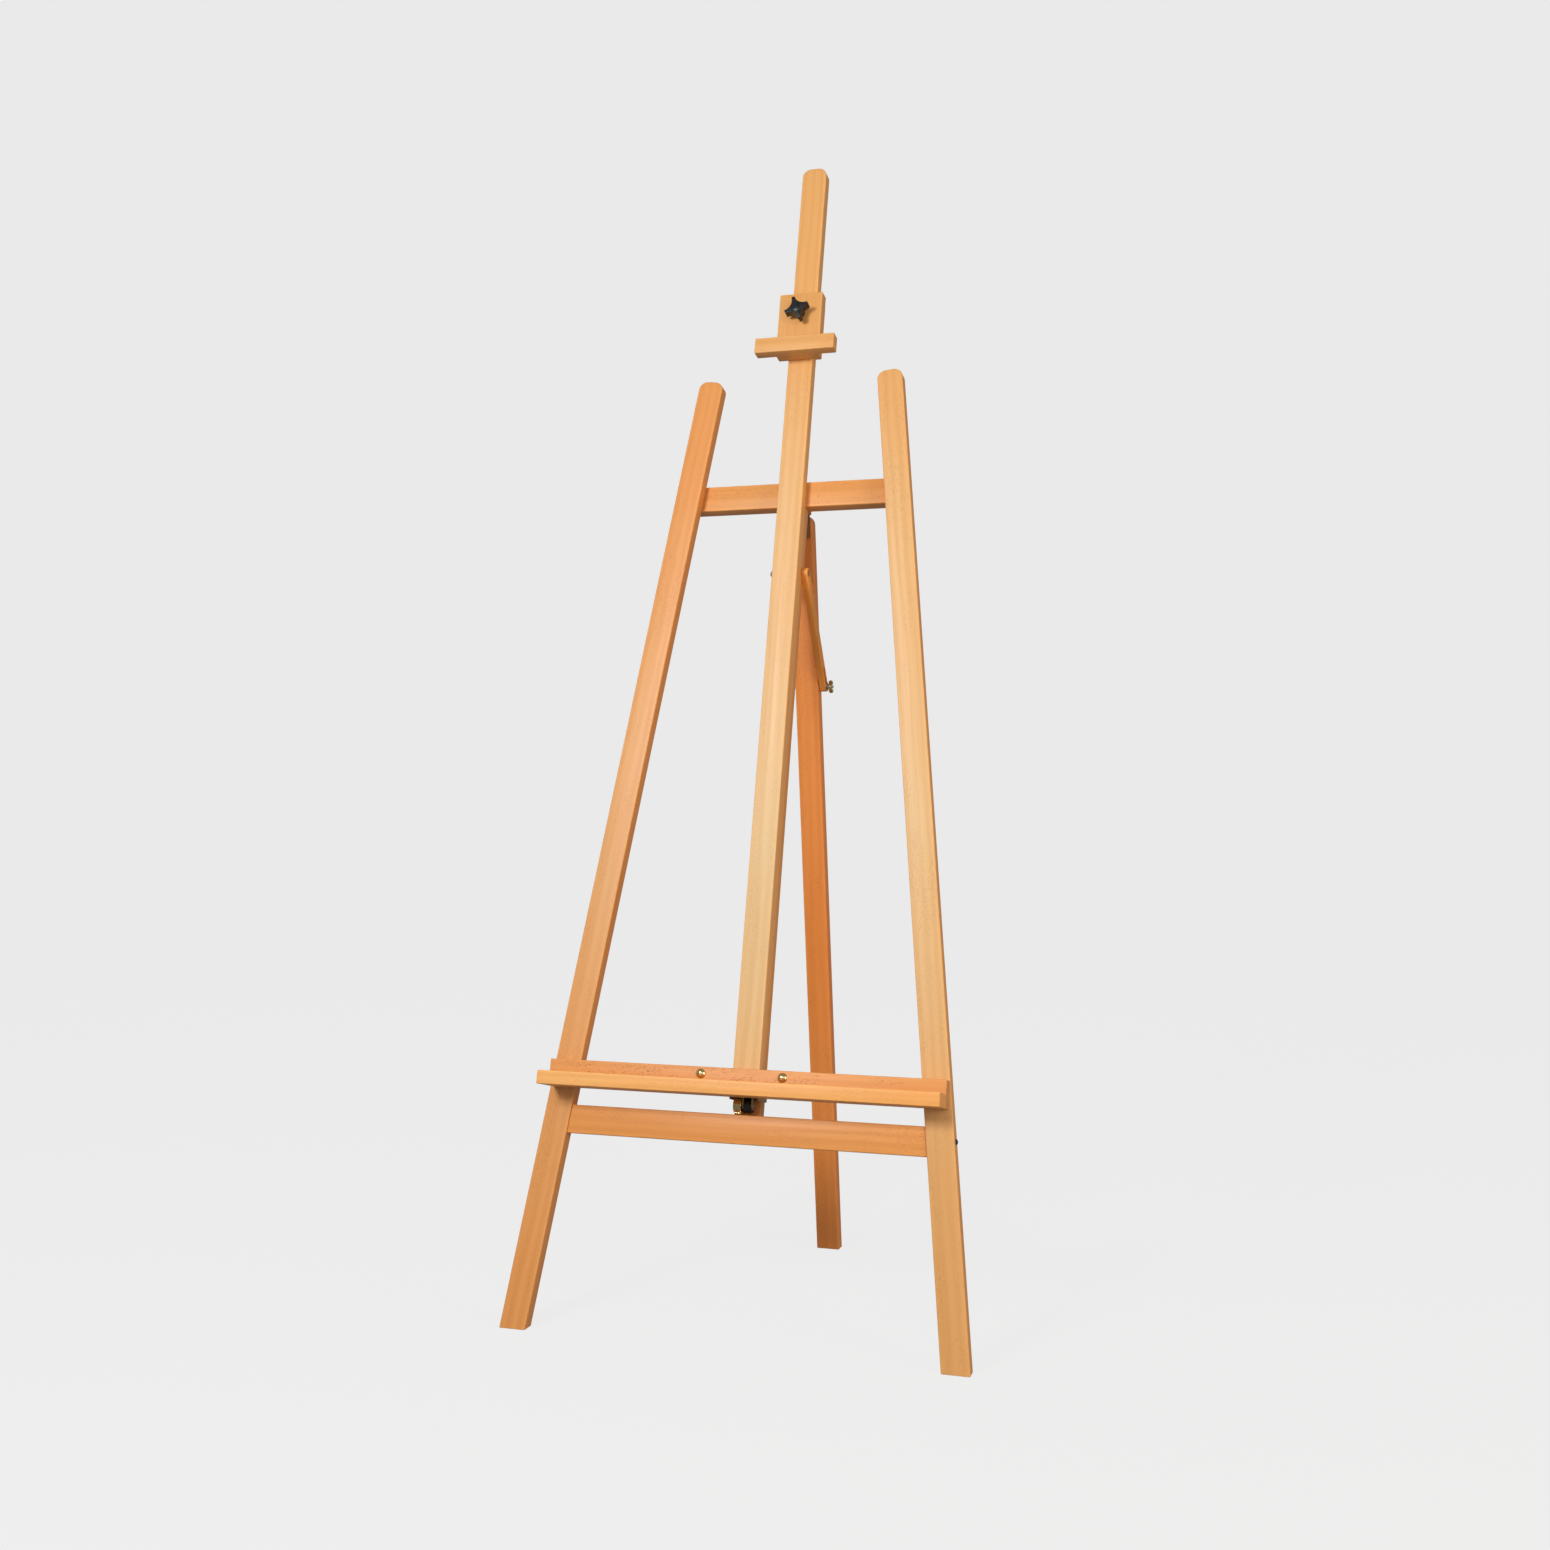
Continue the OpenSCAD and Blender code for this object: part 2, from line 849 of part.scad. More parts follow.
module cam_bracket() {
    plate_z = mast_z - bracket_t;
    color([0.55, 0.55, 0.57])
        on_frame()
            difference() {
                union() {
                    box([bracket_x0, bracket_front, plate_z],
                        [bracket_x1, bracket_back, mast_z]);
                    for (x = [left_cheek_x, right_cheek_x]) {
                        box([x, axle_y - cheek_r, axle_z], [x + cheek_t,
                            axle_y + cheek_r, mast_z - bracket_t / 2]);
                        rod_x([x, axle_y, axle_z], cheek_r, cheek_t);
                    }
                }
                rod_x([-half_w, axle_y, axle_z], axle_r + run_fit, batten_w);
                bracket_screw_set();
            }
}

module cam_bracket_screws() {
    color([0.60, 0.60, 0.62])
        on_frame()
            bracket_screw_set();
}

module clamp_cam() {
    color([0.07, 0.07, 0.07])
        on_frame()
            difference() {
                rod_x([cam_x, axle_y + cam_offset, axle_z], cam_r, cam_w);
                rod_x([cam_x - overcut, axle_y, axle_z], axle_r, cam_w + 2 * overcut);
            }
}

module clamp_wheel() {
    color([0.85, 0.70, 0.36])
        on_frame()
            difference() {
                rod_x([wheel_x, axle_y, axle_z], wheel_r, wheel_w);
                rod_x([wheel_x - overcut, axle_y, axle_z], axle_r, wheel_w + 2 * overcut);
                translate([wheel_x + wheel_w / 2 - groove_depth, axle_y, axle_z])
                    rotate([0, 90, 0])
                        difference() {
                            cylinder(r = wheel_r + overcut, h = 2 * groove_depth);
                            translate([0, 0, -overcut])
                                cylinder(r = wheel_r - groove_depth,
                                    h = 2 * (groove_depth + overcut));
                        }
            }
}

module cam_axle() {
    low = wheel_x - axle_end;
    high = right_cheek_x + cheek_t + axle_end;
    color([0.60, 0.60, 0.62])
        on_frame()
            rod_x([low, axle_y, axle_z], axle_r, high - low);
}

module holder_plate() {
    color([0.86, 0.66, 0.45])
        on_frame()
            difference() {
                box([-holder_w / 2, holder_front, holder_z],
                    [holder_w / 2, holder_back, holder_z + holder_h]);
                rod_y([0, holder_front - overcut, knob_z], insert_r, holder_t + 2 * overcut);
                rod_y([0, holder_back - pad_room, knob_z], pad_r + body_gap,
                    pad_room + overcut);
                lip_screw_set();
                cheek_screw_set();
            }
}

module holder_lip() {
    color([0.86, 0.66, 0.45])
        on_frame()
            difference() {
                box([-lip_length / 2, holder_front - lip_t, lip_z],
                    [lip_length / 2, holder_front, lip_z + lip_h]);
                lip_screw_set();
            }
}

module holder_cheek(side) {
    inner = side * cheek_in;
    outer = side * (cheek_in + cheek_w);
    color([0.78, 0.56, 0.36])
        on_frame()
            difference() {
                box([min(inner, outer), holder_back, holder_z + cheek_start],
                    [max(inner, outer), back_bar_y, holder_z + holder_h]);
                cheek_screw_set();
            }
}

module holder_left_cheek() {
    holder_cheek(-1);
}

module holder_right_cheek() {
    holder_cheek(1);
}

module holder_back_bar() {
    half = cheek_in + cheek_w;
    color([0.78, 0.56, 0.36])
        on_frame()
            difference() {
                box([-half, back_bar_y, holder_z + cheek_start],
                    [half, back_bar_y + back_bar_t, holder_z + holder_h]);
                cheek_screw_set();
            }
}

module holder_lip_screws() {
    color([0.60, 0.60, 0.62])
        on_frame()
            lip_screw_set();
}

module holder_cheek_screws() {
    color([0.60, 0.60, 0.62])
        on_frame()
            cheek_screw_set();
}

module holder_insert() {
    color([0.80, 0.66, 0.36])
        on_frame()
            difference() {
                rod_y([0, holder_front, knob_z], insert_r, insert_l);
                rod_y([0, holder_front - overcut, knob_z], stud_r + run_fit,
                    insert_l + 2 * overcut);
            }
}

module pressure_pad() {
    pad_y = holder_back - pad_t;
    color([0.10, 0.10, 0.10])
        on_frame()
            difference() {
                rod_y([0, pad_y, knob_z], pad_r, pad_t);
                rod_y([0, pad_y - overcut, knob_z], stud_tip_r + run_fit,
                    overcut + pad_t / 2 + body_gap);
            }
}

module star_knob() {
    front = knob_hub_y - knob_hub_l - knob_t;
    color([0.05, 0.05, 0.05])
        on_frame()
            translate([0, 0, knob_z])
                rotate([0, knob_turn, 0])
                    difference() {
                        rod_y([0, front, 0], knob_d / 2, knob_t + knob_hub_l);
                        for (a = [45 : 90 : 315])
                            rotate([0, a, 0])
                                rod_y([knob_waist_r + scallop_r, front - overcut, 0],
                                    scallop_r, knob_t + 2 * overcut);
                        difference() {
                            rod_y([0, front + knob_t, 0], knob_d, knob_hub_l + overcut);
                            rod_y([0, front + knob_t - overcut, 0], knob_hub_r,
                                knob_hub_l + 3 * overcut);
                        }
                        rod_y([0, front + knob_t, 0], stud_r, knob_hub_l + overcut);
                    }
}

module knob_stud() {
    pad_y = holder_back - pad_t;
    thick_end = pad_y - body_gap;
    color([0.60, 0.60, 0.62])
        on_frame() {
            rod_y([0, knob_hub_y - knob_hub_l, knob_z], stud_r,
                thick_end - knob_hub_y + knob_hub_l);
            rod_y([0, thick_end - overcut, knob_z], stud_tip_r,
                overcut + body_gap + pad_t / 2);
        }
}

module rear_leg() {
    color([0.72, 0.46, 0.26])
        difference() {
            on_rear_leg()
                difference() {
                    translate([0, leg_front, 0])
                        batten(rear_leg_w, batten_t, -leg_below - foot_spare, leg_top,
                            corner_r);
                    rod_x([-rear_leg_w, 0, 0], knuckle_recess, 2 * rear_leg_w);
                    box([-rear_leg_w, 0, 0], [rear_leg_w, knuckle_recess,
                        leg_top + overcut]);
                    lower_leaf_screw_set();
                    rod_x([-rear_leg_w, leg_mid, -stay_bolt_drop], clamp_bolt_r,
                        2 * rear_leg_w);
                }
            below_floor();
        }
}

module hinge_lower_screws() {
    color([0.60, 0.60, 0.62])
        on_rear_leg()
            lower_leaf_screw_set();
}

module stay_clamp_bolt() {
    clamp_bolt_end = stay_washer_x + wing_washer_t + wing_hub_l + 4 * thread_end;
    color([0.62, 0.62, 0.64])
        on_rear_leg()
            translate([-rear_leg_w / 2, leg_mid, -stay_bolt_drop]) {
                rotate([0, 90, 0])
                    cylinder(r = clamp_bolt_r, h = rear_leg_w / 2 + clamp_bolt_end);
                rotate([0, -90, 0])
                    dome(clamp_head_r, clamp_head_h);
            }
}

module stay_spacer_washer() {
    color([0.62, 0.62, 0.64])
        on_rear_leg()
            washer_x([rear_leg_w / 2, leg_mid, -stay_bolt_drop], spacer_r, clamp_bolt_r,
                stay_x - rear_leg_w / 2 - body_gap);
}

module stay() {
    color([0.80, 0.56, 0.34])
        on_stay()
            difference() {
                union() {
                    box([stay_x, -stay_w / 2, -stay_end + stay_w / 2],
                        [stay_x + stay_t, stay_w / 2, 0]);
                    rod_x([stay_x, 0, 0], stay_w / 2, stay_t);
                    rod_x([stay_x, 0, -stay_end + stay_w / 2], stay_w / 2, stay_t);
                }
                rod_x([0, 0, 0], pivot_bolt_r + run_fit, 2 * stay_washer_x);
                rod_x([stay_out_x - pivot_head_t - body_gap, 0, 0],
                    pivot_head_r + run_fit, stay_t);
                box([0, -slot_r, -slot_far], [2 * stay_washer_x, slot_r, -slot_near]);
                rod_x([0, 0, -slot_far], slot_r, 2 * stay_washer_x);
                rod_x([0, 0, -slot_near], slot_r, 2 * stay_washer_x);
            }
}

module wing_nut_washer() {
    color([0.62, 0.62, 0.64])
        on_rear_leg()
            washer_x([stay_washer_x, leg_mid, -stay_bolt_drop], wing_washer_r,
                clamp_bolt_r + run_fit, wing_washer_t);
}

module wing_nut() {
    hub_x = stay_washer_x + wing_washer_t + body_gap;
    wing_low_x = wing_x - wing_r;
    color([0.74, 0.66, 0.42])
        on_rear_leg()
            translate([hub_x, leg_mid, -stay_bolt_drop])
                difference() {
                    union() {
                        rotate([0, 90, 0])
                            cylinder(r1 = wing_hub_r1, r2 = wing_hub_r2, h = wing_hub_l);
                        for (side = [-1, 1]) {
                            root = side * wing_root;
                            tip = side * wing_dz;
                            translate([wing_x, -wing_t / 2, tip])
                                rotate([-90, 0, 0])
                                    cylinder(r = wing_r, h = wing_t);
                            box([wing_low_x, -wing_t / 2, min(root, tip)],
                                [wing_hub_l, wing_t / 2, max(root, tip)]);
                        }
                    }
                    rod_x([-overcut, 0, 0], clamp_bolt_r + run_fit,
                        2 * (wing_x + wing_r));
                }
}

left_leg();
right_leg();
upper_crossbar();
lower_crossbar();
center_rail();
hinge_block();
upper_crossbar_screws();
lower_crossbar_screws();
lower_crossbar_dowels();
rail_screws();
rail_dowel();
hinge_block_dowels();
hinge_upper_leaf();
hinge_pin();
hinge_upper_screws();
mast_guide_stud();
stay_pivot_bolt();
stay_pivot_washer();
stay_pivot_nut();
mast();
tray_back_board();
tray_ledge();
tray_ledge_screws();
mast_screws();
guide_collar();
collar_bolts();
collar_nuts();
cam_bracket();
cam_bracket_screws();
clamp_cam();
clamp_wheel();
cam_axle();
holder_plate();
holder_lip();
holder_left_cheek();
holder_right_cheek();
holder_back_bar();
holder_lip_screws();
holder_cheek_screws();
holder_insert();
pressure_pad();
star_knob();
knob_stud();
rear_leg();
hinge_lower_leaf();
hinge_lower_screws();
stay_clamp_bolt();
stay_spacer_washer();
stay();
wing_nut_washer();
wing_nut();
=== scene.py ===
"""Wooden artist easel: finished pieces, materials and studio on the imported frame."""

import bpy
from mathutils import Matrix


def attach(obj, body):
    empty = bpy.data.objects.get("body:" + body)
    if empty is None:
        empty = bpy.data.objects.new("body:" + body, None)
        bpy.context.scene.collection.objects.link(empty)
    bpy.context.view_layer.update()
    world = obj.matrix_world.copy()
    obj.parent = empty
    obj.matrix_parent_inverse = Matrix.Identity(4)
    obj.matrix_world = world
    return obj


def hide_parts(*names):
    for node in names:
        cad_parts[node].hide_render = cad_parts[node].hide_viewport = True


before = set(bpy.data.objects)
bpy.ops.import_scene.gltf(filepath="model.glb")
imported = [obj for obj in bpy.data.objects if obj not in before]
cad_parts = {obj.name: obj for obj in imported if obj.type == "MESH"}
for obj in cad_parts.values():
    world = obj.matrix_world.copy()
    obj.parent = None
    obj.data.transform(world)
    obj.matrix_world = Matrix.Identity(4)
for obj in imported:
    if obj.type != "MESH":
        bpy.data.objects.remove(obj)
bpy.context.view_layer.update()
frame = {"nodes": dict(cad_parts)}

import math

import bpy
from bpy.props import FloatProperty, FloatVectorProperty, IntProperty, PointerProperty
from mathutils import Euler, Matrix, Vector

bl_info = {
    "name": "Wooden Artist Easel",
    "version": (1, 0, 0),
    "blender": (4, 5, 0),
    "location": "View3D > Sidebar > Easel",
    "description": "Finishes a wooden artist easel on its packed frame",
    "category": "Object",
}

MM = 0.001
CLOSE = 1e-6

# The leaning front frame, and the two legs splayed in it.
LEAN = math.radians(14.25)
FRAME_Y = -0.27558648
FRAME = Matrix.Translation((0.0, FRAME_Y, 0.0)) @ Matrix.Rotation(-LEAN, 4, "X")
LEG_LENGTH = 1470.5 * MM
STANCE = 645.6 * MM
TOP_SPREAD = 291.8 * MM
SPLAY = math.atan((STANCE - TOP_SPREAD) / 2 / LEG_LENGTH)
BATTEN_HALF = 20 * MM
BATTEN_T = 20 * MM
FOOT_SPARE = 40 * MM
CROSSBAR_H = 41 * MM
LOWER_BAR_Z = 280 * MM
LOWER_BAR_MID = LOWER_BAR_Z + CROSSBAR_H / 2
LOWER_BAR_FRONT = 2 * MM
UPPER_BAR_Z = 1256 * MM
UPPER_BAR_MID = UPPER_BAR_Z + CROSSBAR_H / 2
UPPER_BAR_T = 22 * MM
UPPER_BAR_BACK = BATTEN_T + UPPER_BAR_T
UPPER_BAR_X = STANCE / 2 - UPPER_BAR_MID * math.tan(SPLAY)
UPPER_BAR_PAST = 10 * MM
RAIL_T = 18 * MM
RAIL_BACK = BATTEN_T + RAIL_T
BLOCK_HALF = 19 * MM
BLOCK_BACK = 57.7 * MM

# The sliding mast with its T-groove, the tray and the clamp under it.
SLIDE_GAP = 0.3 * MM
MAST_Z = 350 * MM
MAST_LENGTH = 1489.7 * MM
GROOVE_LOW = 660.5 * MM
GROOVE_FRONT = 9.4 * MM
NECK_HALF = 3.3 * MM
T_HEAD_HALF = 6.3 * MM
TRAY_Z = 345 * MM
TRAY_HALF = 296 * MM
TRAY_BOARD_H = 39.5 * MM
TRAY_FRONT = -20.3 * MM
LEDGE_T = 19.5 * MM
LEDGE_FRONT = -63 * MM
BOLT_X = 61 * MM
BOLT_Z = 374.5 * MM
AXLE_Y = 7.4 * MM
AXLE_Z = 334.5 * MM

# The canvas holder on the mast.
HOLDER_Z = 1497 * MM
HOLDER_TOP = HOLDER_Z + 106 * MM
HOLDER_MID = (HOLDER_Z + HOLDER_TOP) / 2
HOLDER_BACK = -0.6 * MM
HOLDER_FRONT = -20.6 * MM
PLATE_HALF = 35 * MM
LIP_HALF = 64.5 * MM
LIP_T = 19 * MM
CHEEK_Z = HOLDER_Z + 14 * MM
CHEEK_IN = 20.3 * MM
CHEEK_OUT = 26.3 * MM
BACK_BAR_T = 8 * MM
KNOB_Z = 1567 * MM

# The rear leg, hung from its hinge, and the stay that holds it open.
HINGE_Y = 60 * MM
HINGE_Z = 1252 * MM
LEG_OPEN = math.radians(22)
REAR = (FRAME @ Matrix.Translation((0.0, HINGE_Y, HINGE_Z))
        @ Matrix.Rotation(LEG_OPEN, 4, "X"))
REAR_HALF = 19 * MM
LEG_MID = 11.5 * MM
PIVOT_Z = 1149 * MM
PIVOT_Y = 29 * MM
STAY_BOLT = 267 * MM
STAY_IN = 20.3 * MM
STAY_OUT = 30.3 * MM
STAY_HALF = 8 * MM
SLOT_NEAR = 168.4 * MM
SLOT_FAR = 199.86 * MM
SLOT_HALF = 4.45 * MM

# The middle of each countersunk head, on the face of its wood.
SCREW_SPOTS = {
    "upper_crossbar": [(side * UPPER_BAR_X, UPPER_BAR_BACK, UPPER_BAR_MID + rise)
                       for side in (-1, 1) for rise in (-10 * MM, 10 * MM)],
    "rail": [(x * MM, RAIL_BACK, LOWER_BAR_MID) for x in (-10, 10)],
    "tray_ledge": [(x * MM, -SLIDE_GAP, TRAY_Z + LEDGE_T / 2)
                   for x in (-230, -100, 100, 230)],
    "holder_cheek": [(side * (CHEEK_IN + CHEEK_OUT) / 2, BATTEN_T + BACK_BAR_T,
                      HOLDER_MID + rise)
                     for side in (-1, 1) for rise in (-28 * MM, 28 * MM)],
}
# Head radius, head depth and shank radius.
WOOD_SCREW = (4 * MM, 2.6 * MM, 2 * MM)
CHEEK_SCREW = (2.8 * MM, 1.2 * MM, 1.5 * MM)


def leg_matrix(side):
    """Places a piece along a splayed front leg; side is -1 for left, 1 for right."""
    return (FRAME @ Matrix.Translation((side * STANCE / 2, 0.0, 0.0))
            @ Matrix.Rotation(-side * SPLAY, 4, "Y"))


def stay_matrix():
    """Places a piece along the stay, from its upper pivot."""
    def bolt(open_angle):
        y = HINGE_Y + STAY_BOLT * math.sin(open_angle) + LEG_MID * math.cos(open_angle)
        z = HINGE_Z - STAY_BOLT * math.cos(open_angle) + LEG_MID * math.sin(open_angle)
        return y - PIVOT_Y, PIVOT_Z - z

    def turn(open_angle):
        y, z = bolt(open_angle)
        return math.atan2(y, z)

    error = turn(LEG_OPEN / 2) - (turn(LEG_OPEN) + turn(0.0)) / 2
    return (FRAME @ Matrix.Translation((0.0, PIVOT_Y, PIVOT_Z))
            @ Matrix.Rotation(turn(LEG_OPEN) + error / 2, 4, "X"))


# ---------------------------------------------------------------- settings


class EaselSizes(bpy.types.PropertyGroup):
    """Sizes of the finished edges and details."""

    arris: FloatProperty(name="Eased edge", default=1.4 * MM, unit="LENGTH",
                         description="Radius sanded on the battens' edges")
    batten_top: FloatProperty(name="Batten top radius", default=14 * MM, unit="LENGTH",
                              description="Corner radius of the rounded batten tops")
    metal_edge: FloatProperty(name="Metal edge", default=0.5 * MM, unit="LENGTH",
                              description="Radius on the edges of metal and plastic")
    knurls: IntProperty(name="Knurls", default=44, min=12, max=90,
                        description="Number of ridges round the clamp wheel")


class EaselColours(bpy.types.PropertyGroup):
    """Colours of the finishes."""

    mast: FloatVectorProperty(name="Mast", subtype="COLOR", size=3,
                              default=(0.74, 0.385, 0.13),
                              description="Beech of the mast and holder")
    frame: FloatVectorProperty(name="Front frame", subtype="COLOR", size=3,
                               default=(0.71, 0.315, 0.088),
                               description="Beech of the legs and crossbars")
    rear: FloatVectorProperty(name="Rear leg", subtype="COLOR", size=3,
                              default=(0.75, 0.262, 0.06),
                              description="Darker beech of the rear leg")
    brass: FloatVectorProperty(name="Brass", subtype="COLOR", size=3,
                               default=(0.74, 0.58, 0.28),
                               description="Dome bolts and clamp wheel")
    backdrop: FloatVectorProperty(name="Backdrop", subtype="COLOR", size=3,
                                  default=(0.84, 0.84, 0.84),
                                  description="Studio floor and backdrop")


def sizes():
    """The sizes that a user may change."""
    return bpy.context.scene.easel_sizes


def colours():
    """The colours that a user may change."""
    return bpy.context.scene.easel_colours


def shaded(tone, shade):
    """A colour times one number, or times a number for each channel."""
    if isinstance(shade, float):
        shade = (shade,) * 3
    return tuple(a * b for a, b in zip(tone, shade))


# ---------------------------------------------------------------- node helpers


def feed(tree, socket, value):
    """Links a socket into an input, or sets the input to a number, vector or colour."""
    if isinstance(value, bpy.types.NodeSocket):
        tree.links.new(value, socket)
    elif socket.type == "RGBA":
        socket.default_value = (*value, 1.0)
    else:
        socket.default_value = value


def add_node(tree, kind, inputs, **settings):
    """A shader node with these settings, its inputs fed by name or number."""
    node = tree.nodes.new("ShaderNode" + kind)
    for setting, value in settings.items():
        setattr(node, setting, value)
    for key, value in inputs.items():
        feed(tree, node.inputs[key], value)
    return node


def group_start(name, inputs, outputs):
    """A new shader node group with these sockets, and its input and output nodes."""
    group = bpy.data.node_groups.new(name, "ShaderNodeTree")
    for label, kind, value in inputs:
        socket = group.interface.new_socket(name=label, in_out="INPUT",
                                            socket_type="NodeSocket" + kind)
        if value is not None:
            socket.default_value = value
    for label, kind in outputs:
        group.interface.new_socket(name=label, in_out="OUTPUT",
                                   socket_type="NodeSocket" + kind)
    start = group.nodes.new("NodeGroupInput")
    end = group.nodes.new("NodeGroupOutput")
    return group, start, end


def math_node(tree, operation, *values, clamp=False):
    """A Math node; each value is a socket or a number."""
    node = add_node(tree, "Math", dict(enumerate(values)), operation=operation,
                    use_clamp=clamp)
    return node.outputs[0]


def scaled(tree, vector, scale):
    """The vector stretched by a different amount along each axis."""
    node = add_node(tree, "VectorMath", {0: vector, 1: scale}, operation="MULTIPLY")
    return node.outputs[0]


def noise(tree, vector, scale, detail=2.0, rough=0.5, output="Fac"):
    """A noise value, or a noise colour, at this scale."""
    node = add_node(tree, "TexNoise", {"Vector": vector, "Scale": scale, "Detail": detail,
                                       "Roughness": rough})
    return node.outputs[output]


def spread(tree, value, low, high, to_low=0.0, to_high=1.0):
    """The value remapped from low..high to to_low..to_high, and held there."""
    node = add_node(tree, "MapRange", {"Value": value, "From Min": low, "From Max": high,
                                       "To Min": to_low, "To Max": to_high})
    return node.outputs["Result"]


def mix_colour(tree, factor, first, second, blend="MIX"):
    """Two colours mixed; each value is a socket, a number or a colour."""
    node = add_node(tree, "Mix", {0: factor, 6: first, 7: second}, data_type="RGBA",
                    blend_type=blend, clamp_factor=True)
    return node.outputs[2]


def tinted(tree, colour, tint):
    """The colour multiplied by a tint."""
    return mix_colour(tree, 1.0, colour, tint, "MULTIPLY")


FINISH_OUTPUTS = (("Color", "Color"), ("Roughness", "Float"), ("Height", "Float"))


def group_end(group, end, *values):
    """Links a finish group's colour, roughness and height to its outputs."""
    for (label, kind), value in zip(FINISH_OUTPUTS, values):
        group.links.new(value, end.inputs[label])
    return group


# ---------------------------------------------------------------- finishes


def beech_rings(group, vector):
    """Growth rings along the grain, bent by a slow drift."""
    warp = noise(group, scaled(group, vector, (14, 14, 2.1)), 1.0, 1.0, output="Color")
    bent = add_node(group, "VectorMath", {0: warp, 1: (0.022, 0.022, 0.0), 2: vector},
                    operation="MULTIPLY_ADD").outputs[0]
    bands = {"Vector": scaled(group, bent, (1.0, 0.55, 0.04)), "Scale": 22.0,
             "Distortion": 5.5, "Detail": 3.0, "Detail Scale": 0.9}
    return add_node(group, "TexWave", bands, wave_type="BANDS",
                    bands_direction="X").outputs["Fac"]


def beech_flecks(group, vector, amount):
    """Short ray flecks, gathered in patches."""
    cells = add_node(group, "TexVoronoi",
                     {"Vector": scaled(group, vector, (620, 620, 150)), "Scale": 1.0,
                      "Randomness": 1.0}, feature="F1").outputs["Distance"]
    patch = noise(group, scaled(group, vector, (60, 60, 16)), 1.0)
    mask = math_node(group, "MULTIPLY", spread(group, cells, 0.40, 0.18),
                     spread(group, patch, 0.45, 0.62))
    return math_node(group, "MULTIPLY", mask, amount)


def beech_painted_sheen(group, parts, given):
    """A painted sheen: how strongly a painted highlight pales the front face, along the
    grain.
    """
    away = math_node(group, "ABSOLUTE", math_node(
        group, "SUBTRACT", parts["Z"], given["Sheen Middle"]))
    zone = math_node(group, "SUBTRACT", 1.0, math_node(
        group, "DIVIDE", away, given["Sheen Reach"]), clamp=True)
    zone = math_node(group, "MULTIPLY", zone, given["Sheen Amount"])
    front = math_node(group, "ADD", parts["Y"], given["Half Thickness"])
    return math_node(group, "MULTIPLY", zone, spread(group, front, 0.0025, 0.0004))


def beech_wear(group, parts, given, vector):
    """The rubbed arrises, where two faces meet, broken up by noise."""
    side = math_node(group, "SUBTRACT", given["Half Width"],
                     math_node(group, "ABSOLUTE", parts["X"]))
    face = math_node(group, "SUBTRACT", given["Half Thickness"],
                     math_node(group, "ABSOLUTE", parts["Y"]))
    edge = spread(group, math_node(group, "ADD", side, face), 0.0045, 0.0008)
    rub = spread(group, noise(group, scaled(group, vector, (80, 80, 40)), 1.0),
                 0.35, 0.7, 0.15, 0.75)
    return math_node(group, "MULTIPLY", edge, rub)


def beech_group():
    """Beech: growth rings, fine grain, ray flecks, tone drift, lighter arrises and a
    painted sheen on the front face.

    The vector has the grain along z and the batten's middle at the origin.
    """
    if "Beech grain and painted sheen" in bpy.data.node_groups:
        return bpy.data.node_groups["Beech grain and painted sheen"]
    group, start, end = group_start(
        "Beech grain and painted sheen",
        [("Vector", "Vector", None), ("Half Width", "Float", 0.02),
         ("Half Thickness", "Float", 0.01), ("Wood", "Color", (0.7, 0.4, 0.2, 1)),
         ("Fleck Amount", "Float", 0.4), ("Sheen Middle", "Float", 0.0),
         ("Sheen Reach", "Float", 0.6), ("Sheen Amount", "Float", 0.0)], FINISH_OUTPUTS)
    given = start.outputs
    vector, wood = given["Vector"], given["Wood"]
    parts = add_node(group, "SeparateXYZ", {0: vector}).outputs
    rings = beech_rings(group, vector)
    drift = noise(group, scaled(group, vector, (9, 9, 1.6)), 1.0)
    streak = noise(group, scaled(group, vector, (210, 210, 3.2)), 1.0, 3.0, 0.55)
    fine = noise(group, scaled(group, vector, (900, 900, 11)), 1.0, 3.0, 0.6)
    flecks = beech_flecks(group, vector, given["Fleck Amount"])
    worn = beech_wear(group, parts, given, vector)

    colour = tinted(group, wood, (1.06, 1.09, 1.14))
    dark = tinted(group, wood, (0.82, 0.70, 0.55))
    red = tinted(group, wood, (0.99, 0.86, 0.70))
    for mask, low, high, most, tone in ((rings, 0.2, 1.0, 0.34, dark),
                                        (drift, 0.36, 0.66, 0.75, red),
                                        (streak, 0.48, 0.8, 0.28, dark),
                                        (fine, 0.5, 0.8, 0.35, dark)):
        colour = mix_colour(group, spread(group, mask, low, high, 0.0, most), colour, tone)
    colour = mix_colour(group, flecks, colour, tinted(group, wood, (0.50, 0.30, 0.18)))
    # Painted sheen: a paler, bluer copy of the colour on the front face stands in for a
    # highlight.
    colour = mix_colour(group, beech_painted_sheen(group, parts, given), colour,
                        tinted(group, colour, (0.96, 1.40, 2.25)))
    colour = mix_colour(group, math_node(group, "MULTIPLY", worn, 0.6), colour,
                        tinted(group, wood, (1.25, 1.30, 1.38)))

    rough = math_node(group, "ADD", spread(group, streak, 0.3, 0.8, 0.40, 0.56),
                      math_node(group, "MULTIPLY", worn, 0.06))
    height = math_node(group, "SUBTRACT", math_node(group, "MULTIPLY", fine, 0.6),
                       math_node(group, "MULTIPLY", flecks, 0.5))
    height = math_node(group, "ADD", height, math_node(group, "MULTIPLY", streak, 0.6))
    return group_end(group, end, colour, rough, height)


